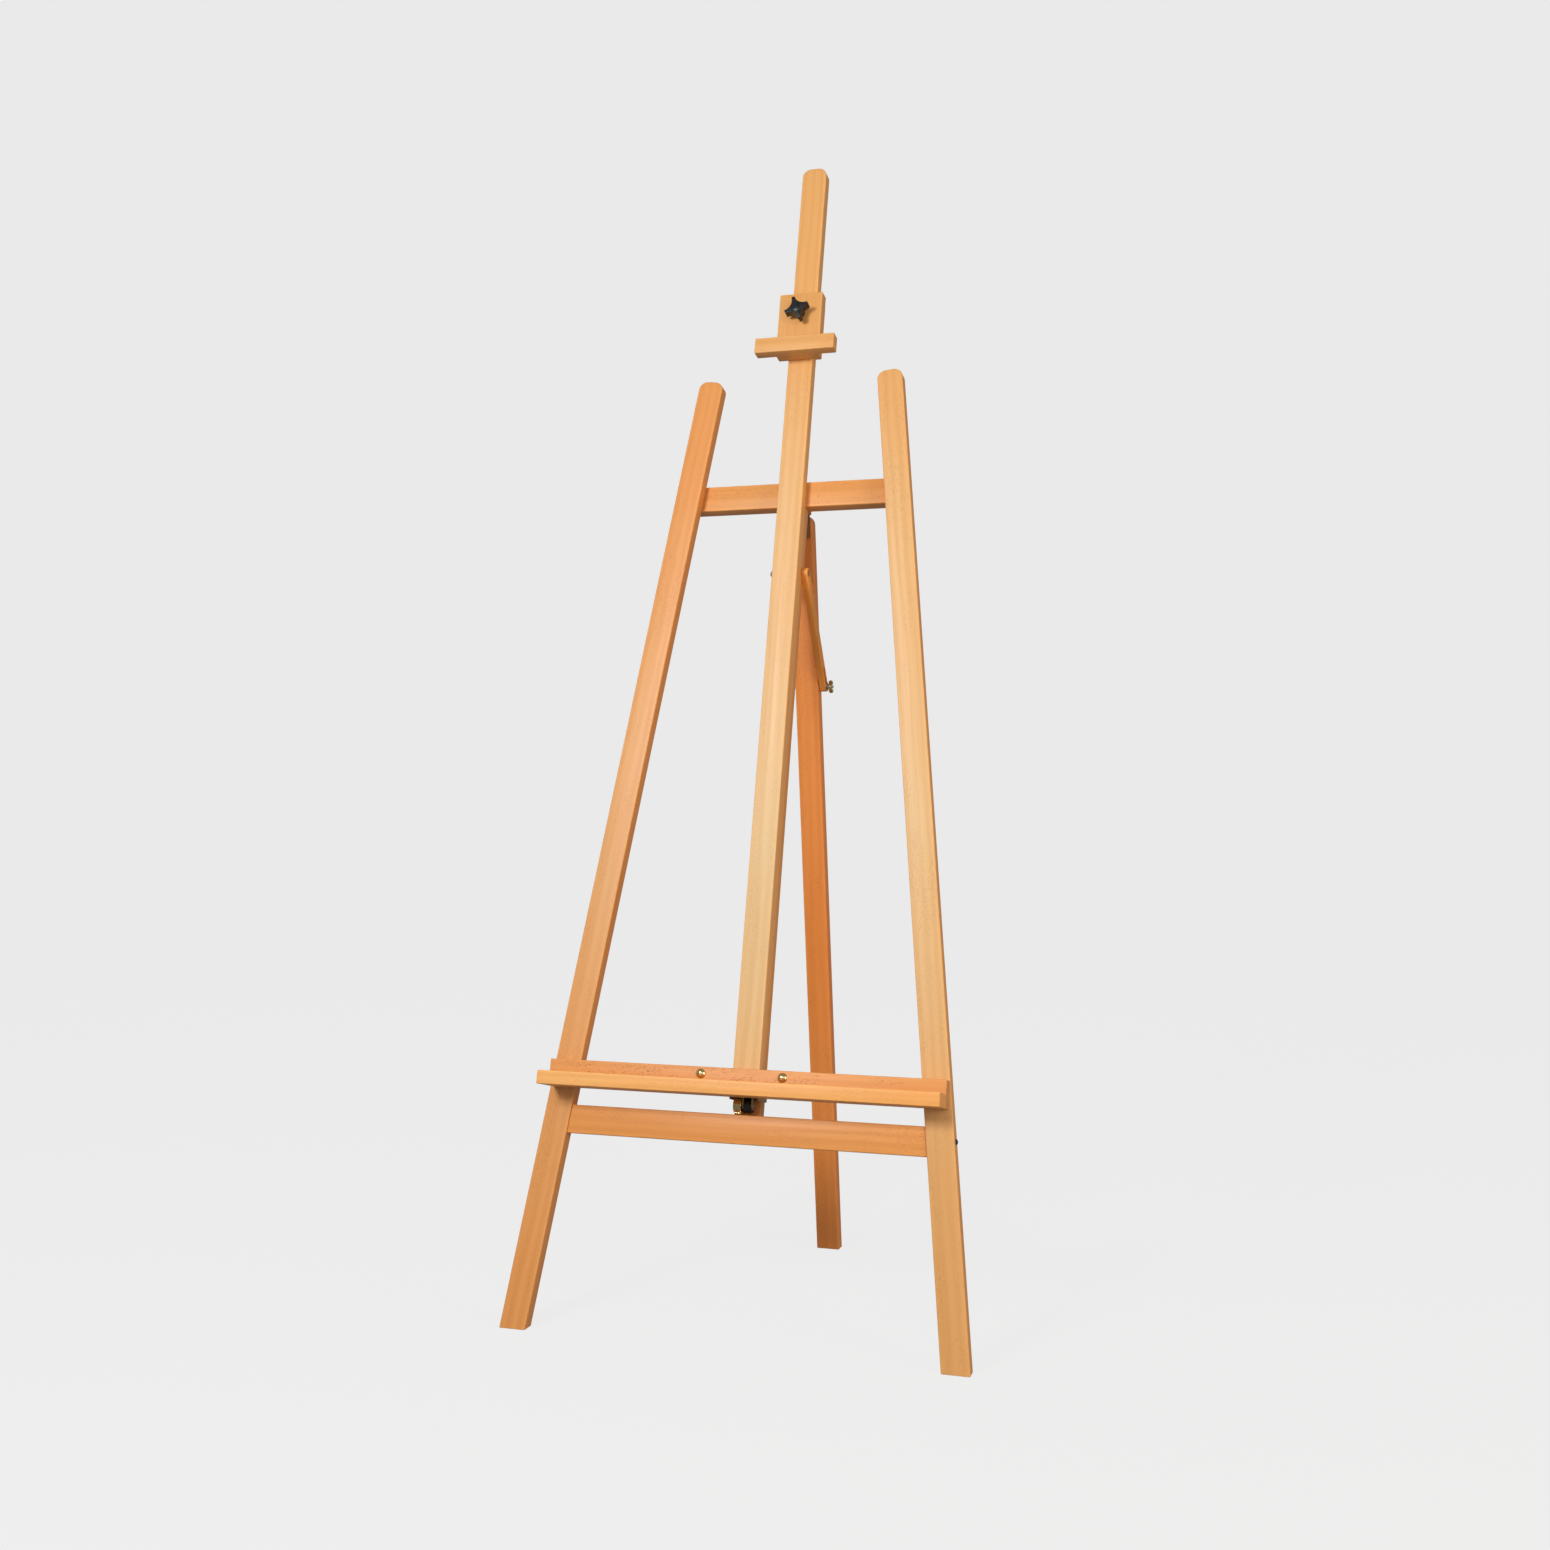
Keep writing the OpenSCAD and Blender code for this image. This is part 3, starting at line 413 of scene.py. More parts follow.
def handling_group():
    """Fine scratches, smudges and dust for metal and plastic."""
    if "Handling marks" in bpy.data.node_groups:
        return bpy.data.node_groups["Handling marks"]
    group, start, end = group_start(
        "Handling marks",
        [("Vector", "Vector", None), ("Base", "Color", (0.5, 0.5, 0.5, 1)),
         ("Mark", "Color", (0.6, 0.6, 0.6, 1)), ("Rough Low", "Float", 0.25),
         ("Rough High", "Float", 0.45)], FINISH_OUTPUTS)
    given = start.outputs
    vector = given["Vector"]
    smudge = noise(group, vector, 130.0, 4.0, 0.6)
    grit = noise(group, vector, 2200.0)
    scratch = noise(group, scaled(group, vector, (2400, 160, 160)), 1.0)
    marks = spread(group, smudge, 0.42, 0.72)
    colour = mix_colour(group, math_node(group, "MULTIPLY", marks, 0.6), given["Base"],
                        given["Mark"])
    span = math_node(group, "SUBTRACT", given["Rough High"], given["Rough Low"])
    rough = math_node(group, "ADD", given["Rough Low"],
                      math_node(group, "MULTIPLY", span, marks))
    rough = math_node(group, "ADD", rough, spread(group, scratch, 0.5, 0.8, 0.0, 0.08))
    height = math_node(group, "ADD", math_node(group, "MULTIPLY", grit, 0.5),
                       math_node(group, "MULTIPLY", scratch, 0.5))
    return group_end(group, end, colour, rough, height)


def new_material(name):
    """A material with its node tree, shader and Object coordinates."""
    material = bpy.data.materials.new(name)
    material.use_nodes = True
    tree = material.node_tree
    coords = add_node(tree, "TexCoord", {}).outputs["Object"]
    return material, tree, tree.nodes["Principled BSDF"], coords


def wear_finish(tree, shader, finish, strength, distance):
    """Feeds a finish group's colour, roughness and height into the shader."""
    bump = add_node(tree, "Bump", {"Strength": strength, "Distance": distance,
                                   "Height": finish.outputs["Height"]})
    for value, label in ((finish.outputs["Color"], "Base Color"),
                         (finish.outputs["Roughness"], "Roughness"),
                         (bump.outputs["Normal"], "Normal")):
        tree.links.new(value, shader.inputs[label])


def beech(name, wood, place, half_width, half_thickness, middle, flecks=0.4, across=False,
          pale=(0.0, 0.6, 0.0)):
    """Beech whose grain follows one piece.

    place is the piece's matrix and middle its middle in that matrix; across is True
    where the grain runs along x instead of z. pale gives where along the grain the
    painted sheen on the front face is strongest, how far it reaches, and how much.
    """
    material, tree, shader, coords = new_material(name)
    turn = Matrix.Rotation(math.radians(90), 4, "Y") if across else Matrix.Identity(4)
    matrix = place @ Matrix.Translation(middle) @ turn
    mapping = add_node(tree, "Mapping", {
        "Vector": coords, "Location": matrix.to_translation(),
        "Rotation": matrix.to_euler()}, vector_type="TEXTURE")
    grain = add_node(tree, "Group", {
        "Vector": mapping.outputs[0], "Half Width": half_width,
        "Half Thickness": half_thickness, "Wood": wood, "Fleck Amount": flecks,
        "Sheen Middle": pale[0], "Sheen Reach": pale[1], "Sheen Amount": pale[2],
    }, node_tree=beech_group())
    wear_finish(tree, shader, grain, 0.35, 0.0003)
    shader.inputs["Coat Weight"].default_value = 0.08
    shader.inputs["Coat Roughness"].default_value = 0.35
    shader.inputs["Specular IOR Level"].default_value = 0.32
    return material


def handled(name, base, mark, rough, metallic, grain=0.12):
    """Metal, plastic or rubber with handling marks, between two roughnesses."""
    if name in bpy.data.materials:
        return bpy.data.materials[name]
    material, tree, shader, coords = new_material(name)
    marks = add_node(tree, "Group", {
        "Vector": coords, "Base": base, "Mark": mark, "Rough Low": rough[0],
        "Rough High": rough[1]}, node_tree=handling_group())
    wear_finish(tree, shader, marks, grain, 0.0002)
    shader.inputs["Metallic"].default_value = metallic
    return material


def brass():
    """Polished brass of the bolts, wheel and wing nut."""
    return handled("Brass", tuple(colours().brass), (0.42, 0.29, 0.11), (0.14, 0.34), 1.0)


def zinc():
    """Bright plated steel of the screws, nuts and washers."""
    return handled("Zinc plated steel", (0.56, 0.56, 0.57), (0.42, 0.42, 0.43),
                   (0.26, 0.44), 1.0)


def dark_steel():
    """Brownish steel of the hinge, the strap collar and the cam's bracket."""
    return handled("Bronzed steel", (0.46, 0.30, 0.16), (0.32, 0.20, 0.10), (0.36, 0.52),
                   0.8)


def black_steel():
    """Black steel of the two pan head screws."""
    return handled("Black screw steel", (0.02, 0.02, 0.022), (0.05, 0.05, 0.05),
                   (0.3, 0.5), 0.6)


def black_plastic():
    """Black plastic of the star knob and the cam."""
    return handled("Black plastic", (0.004, 0.004, 0.005), (0.010, 0.010, 0.011),
                   (0.3, 0.5), 0.0, 0.25)


def pad_rubber():
    """Dull black rubber of the holder's pressure pad."""
    return handled("Pad rubber", (0.02, 0.02, 0.02), (0.035, 0.035, 0.035), (0.6, 0.8),
                   0.0)


# ---------------------------------------------------------------- modelling helpers


def clear_selection():
    """Leaves edit mode and deselects everything."""
    if bpy.context.object and bpy.context.object.mode != "OBJECT":
        bpy.ops.object.mode_set(mode="OBJECT")
    bpy.ops.object.select_all(action="DESELECT")


def select_only(obj):
    """Makes this the one selected and active object."""
    clear_selection()
    obj.select_set(True)
    bpy.context.view_layer.objects.active = obj


def put(obj, matrix):
    """Moves a piece by a matrix, and keeps its place in its mesh."""
    select_only(obj)
    obj.matrix_world = matrix @ obj.matrix_world
    bpy.ops.object.transform_apply(location=True, rotation=True, scale=True)


def block(name, low, high):
    """A squared blank between two corners."""
    clear_selection()
    low, high = Vector(low), Vector(high)
    bpy.ops.mesh.primitive_cube_add(size=1, location=(low + high) / 2, scale=high - low)
    obj = bpy.context.object
    obj.name = name
    bpy.ops.object.transform_apply(location=True, rotation=True, scale=True)
    return obj


def rod(name, start, axis, radius, length, sides=48, radius_end=None):
    """A turned blank from a start point along X, Y or Z; a negative length points back."""
    clear_selection()
    turn = {"X": (0, math.radians(90), 0), "Y": (math.radians(-90), 0, 0),
            "Z": (0, 0, 0)}[axis]
    middle = Vector(start) + Euler(turn).to_matrix() @ Vector((0, 0, length / 2))
    first, last = radius, radius if radius_end is None else radius_end
    if length < 0:
        first, last = last, first
    bpy.ops.mesh.primitive_cone_add(vertices=sides, radius1=first, radius2=last,
                                    depth=abs(length), location=middle, rotation=turn)
    obj = bpy.context.object
    obj.name = name
    bpy.ops.object.transform_apply(location=True, rotation=True, scale=True)
    return obj


def edit_select(obj, kind, wanted):
    """Opens edit mode with only the wanted edges, faces or vertices selected."""
    select_only(obj)
    mesh = obj.data
    bpy.ops.object.mode_set(mode="EDIT")
    bpy.ops.mesh.select_mode(type=kind)
    bpy.ops.mesh.select_all(action="DESELECT")
    bpy.ops.object.mode_set(mode="OBJECT")
    items = {"VERT": mesh.vertices, "EDGE": mesh.edges, "FACE": mesh.polygons}[kind]
    for item in items:
        item.select = bool(wanted(mesh, item))
    bpy.ops.object.mode_set(mode="EDIT")


def finish_edit():
    """Leaves edit mode."""
    bpy.ops.object.mode_set(mode="OBJECT")


def round_top(obj, top, radius, half_width):
    """Rounds the two upper corners of a batten."""
    def corner(mesh, edge):
        a, b = (mesh.vertices[i].co for i in edge.vertices)
        return all(abs(p.z - top) < CLOSE and abs(abs(p.x) - half_width) < CLOSE
                   for p in (a, b)) and abs(a.x - b.x) < CLOSE
    edit_select(obj, "EDGE", corner)
    bpy.ops.mesh.bevel(offset=radius, offset_type="OFFSET", segments=9, profile=0.5,
                       affect="EDGES", clamp_overlap=True)
    finish_edit()


def slice_off(obj, point, normal):
    """Cuts the piece flat at a plane and keeps what lies behind the normal."""
    select_only(obj)
    bpy.ops.object.mode_set(mode="EDIT")
    bpy.ops.mesh.select_all(action="SELECT")
    bpy.ops.mesh.bisect(plane_co=point, plane_no=normal, use_fill=True, clear_outer=True)
    finish_edit()


def ease(obj, width, segments=3, angle=35.0):
    """Rounds every sharp edge with an applied bevel."""
    select_only(obj)
    bevel = obj.modifiers.new("Eased edges", "BEVEL")
    bevel.width = width
    bevel.segments = segments
    bevel.limit_method = "ANGLE"
    bevel.angle_limit = math.radians(angle)
    bevel.use_clamp_overlap = True
    bpy.ops.object.modifier_apply(modifier=bevel.name)


def smooth(obj, angle=32.0):
    """Shades smooth, but for edges sharper than the angle in degrees."""
    select_only(obj)
    bpy.ops.object.shade_smooth_by_angle(angle=math.radians(angle))


def cut(obj, cutter):
    """Cuts one piece by another, and removes the cutter."""
    select_only(obj)
    boolean = obj.modifiers.new("Cut", "BOOLEAN")
    boolean.operation = "DIFFERENCE"
    boolean.solver = "EXACT"
    boolean.object = cutter
    bpy.ops.object.modifier_apply(modifier=boolean.name)
    bpy.data.objects.remove(cutter, do_unlink=True)


def join(objs, name):
    """Joins several objects into one piece."""
    clear_selection()
    for obj in objs:
        obj.select_set(True)
    bpy.context.view_layer.objects.active = objs[0]
    if len(objs) > 1:
        bpy.ops.object.join()
    objs[0].name = name
    return objs[0]


def copy_of(obj):
    """A copy with its own mesh."""
    select_only(obj)
    bpy.ops.object.duplicate(linked=False)
    return bpy.context.object


def finished(obj, material, body, slot, *nodes):
    """Gives a piece its finish and body, and lets it stand for its CAD nodes."""
    obj.data.materials.clear()
    obj.data.materials.append(material)
    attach(obj, body)
    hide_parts(*nodes)


def tidy(obj):
    """Merges doubles and turns the faces outwards."""
    select_only(obj)
    bpy.ops.object.mode_set(mode="EDIT")
    bpy.ops.mesh.select_all(action="SELECT")
    bpy.ops.mesh.remove_doubles(threshold=CLOSE)
    bpy.ops.mesh.normals_make_consistent(inside=False)
    finish_edit()


def sinks(points, matrix, radius=4.25 * MM, depth=2.7 * MM, inner=1.9 * MM):
    """Countersinks for screw heads, opening along +y at each point."""
    past = 0.2 * MM
    made = [rod("sink", (x, y + past, z), "Y", radius, -depth - past, 32, inner)
            for x, y, z in points]
    cutter = join(made, "sinks")
    put(cutter, matrix)
    return cutter


def batten_piece(name, low, high, matrix, material, body, node, top=None, cutters=(),
                 planes=(), eased=None):
    """A sanded batten: squared, rounded at the top, cut, eased and placed."""
    obj = block(name, low, high)
    if top:
        round_top(obj, high[2], top, high[0])
    put(obj, matrix)
    for point, normal in planes:
        slice_off(obj, point, normal)
    ease(obj, sizes().arris if eased is None else eased)
    for make in cutters:
        cut(obj, make())
    smooth(obj)
    tidy(obj)
    finished(obj, material, body, "beech", node)


# ---------------------------------------------------------------- pieces


class EaselOperator:
    """Shared settings of the easel's operators."""

    bl_options = {"REGISTER", "UNDO"}


class EASEL_OT_front_legs(EaselOperator, bpy.types.Operator):
    """Build the two splayed front legs"""

    bl_idname = "easel.front_legs"
    bl_label = "Front Legs"

    def execute(self, context):
        length = LEG_LENGTH / math.cos(SPLAY)
        # pale places each leg's painted sheen: its middle, reach and amount.
        for side, name, shade, grain_z, pale in (
                (-1, "left_leg", (1.0, 0.95, 0.95), 0.77, (-0.1, 0.6, 0.6)),
                (1, "right_leg", (1.04, 1.10, 1.16), 0.31, (0.45, 1.1, 0.8))):
            matrix = leg_matrix(side)
            wood = shaded(colours().frame, shade)
            material = beech("Beech " + name.replace("_", " "), wood, matrix, BATTEN_HALF,
                             BATTEN_T / 2, (0, BATTEN_T / 2, grain_z), 0.35, pale=pale)
            batten_piece("front_" + name, (-BATTEN_HALF, 0, -FOOT_SPARE),
                         (BATTEN_HALF, BATTEN_T, length), matrix, material, "frame", name,
                         top=sizes().batten_top, planes=[((0, 0, 0), (0, 0, -1))])
        return {"FINISHED"}


class EASEL_OT_crossbars(EaselOperator, bpy.types.Operator):
    """Build the upper and lower crossbars"""

    bl_idname = "easel.crossbars"
    bl_label = "Crossbars"

    def execute(self, context):
        tone = tuple(colours().frame)
        half = UPPER_BAR_X + UPPER_BAR_PAST
        material = beech("Beech upper crossbar", tone, FRAME, CROSSBAR_H / 2,
                         UPPER_BAR_T / 2, (0.4, BATTEN_T + UPPER_BAR_T / 2, UPPER_BAR_MID),
                         0.4, True)
        batten_piece("upper_crossbar_bar", (-half, BATTEN_T, UPPER_BAR_Z),
                     (half, UPPER_BAR_BACK, UPPER_BAR_Z + CROSSBAR_H), FRAME, material,
                     "frame", "upper_crossbar",
                     cutters=[lambda: sinks(SCREW_SPOTS["upper_crossbar"], FRAME)])
        material = beech("Beech lower crossbar", shaded(tone, (1.0, 0.93, 0.8)), FRAME,
                         CROSSBAR_H / 2, (BATTEN_T - LOWER_BAR_FRONT) / 2,
                         (-0.7, (BATTEN_T + LOWER_BAR_FRONT) / 2, LOWER_BAR_MID), 0.45,
                         True)
        planes = []
        for side in (-1, 1):
            matrix = leg_matrix(side)
            planes.append((matrix @ Vector((-side * BATTEN_HALF, 0, LOWER_BAR_MID)),
                           matrix.to_3x3() @ Vector((side, 0, 0))))
        batten_piece("lower_crossbar_bar", (-STANCE / 2, LOWER_BAR_FRONT, LOWER_BAR_Z),
                     (STANCE / 2, BATTEN_T, LOWER_BAR_Z + CROSSBAR_H), FRAME, material,
                     "frame", "lower_crossbar", planes=planes)
        return {"FINISHED"}


class EASEL_OT_center_rail(EaselOperator, bpy.types.Operator):
    """Build the fixed rail behind the mast and the hinge block"""

    bl_idname = "easel.center_rail"
    bl_label = "Centre Rail"

    def execute(self, context):
        tone = tuple(colours().frame)
        material = beech("Beech rail", shaded(tone, 0.92), FRAME, BATTEN_HALF, RAIL_T / 2,
                         (0, BATTEN_T + RAIL_T / 2, 0.5), 0.35)
        batten_piece("center_rail_batten", (-BATTEN_HALF, BATTEN_T, LOWER_BAR_Z + 1 * MM),
                     (BATTEN_HALF, RAIL_BACK, UPPER_BAR_Z), FRAME, material, "frame",
                     "center_rail", cutters=[lambda: sinks(SCREW_SPOTS["rail"], FRAME)])
        material = beech("Beech hinge block", shaded(tone, 0.9), FRAME, BLOCK_HALF,
                         BLOCK_HALF, (0.1, 50 * MM, UPPER_BAR_MID), 0.3, True)
        batten_piece("hinge_mounting_block",
                     (-BLOCK_HALF, UPPER_BAR_BACK, UPPER_BAR_Z + 1 * MM),
                     (BLOCK_HALF, BLOCK_BACK, UPPER_BAR_Z + 39 * MM), FRAME, material,
                     "frame", "hinge_block", eased=1.0 * MM)
        return {"FINISHED"}


class EASEL_OT_mast(EaselOperator, bpy.types.Operator):
    """Build the sliding mast with the groove in its back"""

    bl_idname = "easel.mast"
    bl_label = "Mast"

    @staticmethod
    def groove():
        """The narrow part of the T-groove, open at the mast's back."""
        neck = block("neck", (-NECK_HALF, GROOVE_FRONT + 0.2 * MM, GROOVE_LOW),
                     (NECK_HALF, BATTEN_T + 5 * MM, UPPER_BAR_MID))
        put(neck, FRAME)
        return neck

    @staticmethod
    def head_groove():
        """The wide part of the T-groove, inside the mast."""
        head = block("head", (-T_HEAD_HALF, GROOVE_FRONT, GROOVE_LOW),
                     (T_HEAD_HALF, GROOVE_FRONT + 4.6 * MM, UPPER_BAR_MID + 6 * MM))
        put(head, FRAME)
        return head

    @staticmethod
    def entry():
        """The hole where the stud's head goes into the groove."""
        hole = rod("entry", (0, GROOVE_FRONT, GROOVE_LOW), "Y", T_HEAD_HALF, BATTEN_T)
        put(hole, FRAME)
        return hole

    def execute(self, context):
        # pale places the mast's painted sheen: its middle, reach and amount.
        material = beech("Beech mast", tuple(colours().mast), FRAME, BATTEN_HALF,
                         BATTEN_T / 2, (0, BATTEN_T / 2, 1.1), 0.25,
                         pale=(-0.4, 0.85, 0.75))
        batten_piece("mast_batten", (-BATTEN_HALF, -SLIDE_GAP, MAST_Z),
                     (BATTEN_HALF, BATTEN_T - SLIDE_GAP, MAST_Z + MAST_LENGTH), FRAME,
                     material, "carriage", "mast", top=sizes().batten_top,
                     cutters=[self.groove, self.head_groove, self.entry])
        return {"FINISHED"}


class EASEL_OT_tray(EaselOperator, bpy.types.Operator):
    """Build the canvas tray: back board and ledge"""

    bl_idname = "easel.tray"
    bl_label = "Tray"

    def execute(self, context):
        tone = tuple(colours().frame)
        material = beech("Beech tray board", shaded(tone, 0.94), FRAME, 19.7 * MM,
                         10 * MM, (0.9, -10.3 * MM, TRAY_Z + 19.7 * MM), 1.0, True)
        batten_piece("tray_board", (-TRAY_HALF, TRAY_FRONT, TRAY_Z),
                     (TRAY_HALF, -SLIDE_GAP, TRAY_Z + TRAY_BOARD_H), FRAME, material,
                     "carriage", "tray_back_board", eased=1.0 * MM,
                     cutters=[lambda: sinks(SCREW_SPOTS["tray_ledge"], FRAME)])
        # The ledge's beech is paler than the frame's: partly its own tone, partly painted
        # light for the light that falls on the ledge.
        material = beech("Beech tray ledge", shaded(tone, (1.16, 1.28, 1.35)), FRAME,
                         LEDGE_T / 2, 21.3 * MM, (-1.2, -41.6 * MM, TRAY_Z + LEDGE_T / 2),
                         0.3, True)
        batten_piece("tray_shelf", (-TRAY_HALF, LEDGE_FRONT, TRAY_Z),
                     (TRAY_HALF, TRAY_FRONT, TRAY_Z + LEDGE_T), FRAME, material,
                     "carriage", "tray_ledge", eased=1.0 * MM)
        return {"FINISHED"}


class EASEL_OT_holder(EaselOperator, bpy.types.Operator):
    """Build the sliding canvas holder"""

    bl_idname = "easel.holder"
    bl_label = "Canvas Holder"

    def execute(self, context):
        tone = tuple(colours().mast)
        wood = shaded(tone, 0.97)
        plate = beech("Beech holder plate", wood, FRAME, PLATE_HALF, 10 * MM,
                      (0, -10.6 * MM, HOLDER_MID - 2.2), 0.3)
        batten_piece("holder_front_plate", (-PLATE_HALF, HOLDER_FRONT, HOLDER_Z),
                     (PLATE_HALF, HOLDER_BACK, HOLDER_TOP), FRAME, plate, "holder",
                     "holder_plate", eased=1.0 * MM)
        lip = beech("Beech holder lip", wood, FRAME, 12.5 * MM, LIP_T / 2,
                    (0.6, HOLDER_FRONT - LIP_T / 2, HOLDER_Z + 10 * MM), 0.35, True)
        batten_piece("holder_lip_bar", (-LIP_HALF, HOLDER_FRONT - LIP_T,
                                        HOLDER_Z - 2.5 * MM),
                     (LIP_HALF, HOLDER_FRONT, HOLDER_Z + 22.5 * MM), FRAME, lip, "holder",
                     "holder_lip", eased=1.0 * MM)
        cheek = beech("Beech holder cheeks", shaded(tone, 0.88), FRAME, CHEEK_OUT,
                      BATTEN_T / 2, (0, BATTEN_T / 2, HOLDER_MID + 1.4), 0.3)
        for side, name in ((-1, "left"), (1, "right")):
            inner, outer = sorted((side * CHEEK_IN, side * CHEEK_OUT))
            batten_piece(f"holder_{name}_cheek_strip", (inner, HOLDER_BACK, CHEEK_Z),
                         (outer, BATTEN_T, HOLDER_TOP), FRAME, cheek, "holder",
                         f"holder_{name}_cheek", eased=0.7 * MM)
        back = beech("Beech holder back", shaded(tone, 0.88), FRAME, CHEEK_OUT,
                     BACK_BAR_T / 2, (0, BATTEN_T + BACK_BAR_T / 2, HOLDER_MID - 0.9), 0.3)
        batten_piece("holder_back_board", (-CHEEK_OUT, BATTEN_T, CHEEK_Z),
                     (CHEEK_OUT, BATTEN_T + BACK_BAR_T, HOLDER_TOP), FRAME, back, "holder",
                     "holder_back_bar", eased=0.8 * MM,
                     cutters=[lambda: sinks(SCREW_SPOTS["holder_cheek"], FRAME, 2.95 * MM,
                                            1.3 * MM, 1.5 * MM)])
        return {"FINISHED"}


class EASEL_OT_rear_leg(EaselOperator, bpy.types.Operator):
    """Build the hinged rear leg"""

    bl_idname = "easel.rear_leg"
    bl_label = "Rear Leg"

    @staticmethod
    def knuckle_room():
        """Room for the hinge's knuckle across the leg's top."""
        room = rod("room", (-0.04, 0, 0), "X", 3.3 * MM, 0.08)
        put(room, REAR)
        return room

    @staticmethod
    def top_rebate():
        """The rebate above the knuckle, in the leg's front."""
        rebate = block("rebate", (-0.04, -2 * MM, 0), (0.04, 3.3 * MM, 12 * MM))
        put(rebate, REAR)
        return rebate

    def execute(self, context):
        material = beech("Beech rear leg", tuple(colours().rear), REAR, REAR_HALF,
                         BATTEN_T / 2, (0, LEG_MID, -0.6), 0.35)
        batten_piece("rear_leg_batten", (-REAR_HALF, LEG_MID - BATTEN_T / 2, -1.26),
                     (REAR_HALF, LEG_MID + BATTEN_T / 2, 4.5 * MM), REAR, material,
                     "rear_leg", "rear_leg", top=13.9 * MM,
                     planes=[((0, 0, 0), (0, 0, -1))],
                     cutters=[self.knuckle_room, self.top_rebate])
        return {"FINISHED"}


class EASEL_OT_stay(EaselOperator, bpy.types.Operator):
    """Build the slotted stay"""

    bl_idname = "easel.stay"
    bl_label = "Stay"

    def execute(self, context):
        place = stay_matrix()
        obj = block("stay_bar", (STAY_IN, -STAY_HALF, -SLOT_FAR - STAY_HALF),
                    (STAY_OUT, STAY_HALF, STAY_HALF))

        def corner(mesh, edge):
            a, b = (mesh.vertices[i].co for i in edge.vertices)
            return (abs(a.z - b.z) < CLOSE and abs(a.y - b.y) < CLOSE
                    and abs(abs(a.y) - STAY_HALF) < CLOSE)
        edit_select(obj, "EDGE", corner)
        bpy.ops.mesh.bevel(offset=STAY_HALF - 0.1 * MM, segments=12, profile=0.5,
                           affect="EDGES")
        finish_edit()
        ease(obj, 0.9 * MM)
        past = 0.01
        through = STAY_OUT - STAY_IN + 2 * past
        cut(obj, block("slot", (STAY_IN - past, -SLOT_HALF, -SLOT_FAR),
                       (STAY_OUT + past, SLOT_HALF, -SLOT_NEAR)))
        cut(obj, rod("head_room", (STAY_OUT - 2.8 * MM, 0, 0), "X", 5.55 * MM, past))
        for z in (SLOT_NEAR, SLOT_FAR):
            cut(obj, rod("slot_end", (STAY_IN - past, 0, -z), "X", SLOT_HALF, through))
        put(obj, place)
        smooth(obj)
        tidy(obj)
        # The stay's beech is lighter and more orange than the frame's: partly its own tone,
        # partly painted light for the light that falls on its faces.
        wood = shaded(colours().frame, (1.2, 1.08, 0.75))
        material = beech("Beech stay", wood, place, STAY_HALF, (STAY_OUT - STAY_IN) / 2,
                         ((STAY_IN + STAY_OUT) / 2, 0, -0.1), 0.3)
        finished(obj, material, "stay", "beech", "stay")
        return {"FINISHED"}


def recess(obj, at, axis, depth, reach, width):
    """Cuts a cross recess into a screw head."""
    for turn in (0, 1):
        half = [reach, reach, reach]
        cross = [index for index in range(3) if index != axis]
        half[axis] = depth
        half[cross[turn]] = width / 2
        low = [c - h for c, h in zip(at, half)]
        high = [c + h for c, h in zip(at, half)]
        cut(obj, block("recess", low, high))


def flat_screw(head_radius, head_depth, shank_radius, length):
    """A countersunk screw with a cross recess, pointing along -y from the origin."""
    head = rod("head", (0, 0, 0), "Y", head_radius, -head_depth, 32, shank_radius)
    recess(head, (0, 0, 0), 1, head_depth * 0.6, head_radius * 0.55, head_radius * 0.22)
    shank = rod("shank", (0, -head_depth + 0.02 * MM, 0), "Y", shank_radius,
                -length + head_depth, 20, shank_radius * 0.35)
    obj = join([head, shank], "screw")
    smooth(obj, 30)
    return obj


def place_copies(proto, matrices, name):
    """Copies of a prototype at each place, joined as one piece."""
    copies = []
    for matrix in matrices:
        copy = copy_of(proto)
        put(copy, matrix)
        copies.append(copy)
    bpy.data.objects.remove(proto, do_unlink=True)
    return join(copies, name)


class EASEL_OT_screws(EaselOperator, bpy.types.Operator):
    """Build the countersunk screws whose heads show"""

    bl_idname = "easel.screws"
    bl_label = "Countersunk Screws"

    def execute(self, context):
        for name, body, screw, length, turns in (
                ("upper_crossbar", "frame", WOOD_SCREW, 36 * MM, (-2.6, -0.8, 1.4, 3.2)),
                ("rail", "frame", WOOD_SCREW, 32 * MM, (-4.0, 4.0)),
                ("tray_ledge", "carriage", WOOD_SCREW, 40 * MM, (-2.3, -1.0, 1.0, 2.3)),
                ("holder_cheek", "holder", CHEEK_SCREW, 44 * MM,
                 (-2.12, 0.12, -0.12, 2.12))):
            places = [FRAME @ Matrix.Translation(spot) @ Matrix.Rotation(turn, 4, "Y")
                      for spot, turn in zip(SCREW_SPOTS[name], turns)]
            obj = place_copies(flat_screw(*screw, length), places, name + "_screw_set")
            finished(obj, zinc(), body, "steel", name + "_screws")
        return {"FINISHED"}


def dome_cap(radius, height):
    """A dome on the plane z = 0, pointing along +z, with a softened rim."""
    ball = (radius * radius + height * height) / (2 * height)
    clear_selection()
    bpy.ops.mesh.primitive_uv_sphere_add(segments=48, ring_count=48, radius=ball,
                                         location=(0, 0, height - ball))
    obj = bpy.context.object
    obj.name = "cap"
    bpy.ops.object.transform_apply(location=True, rotation=True, scale=True)
    slice_off(obj, (0, 0, 0), (0, 0, -1))
    ease(obj, 0.35 * MM, 2, 40)
    return obj


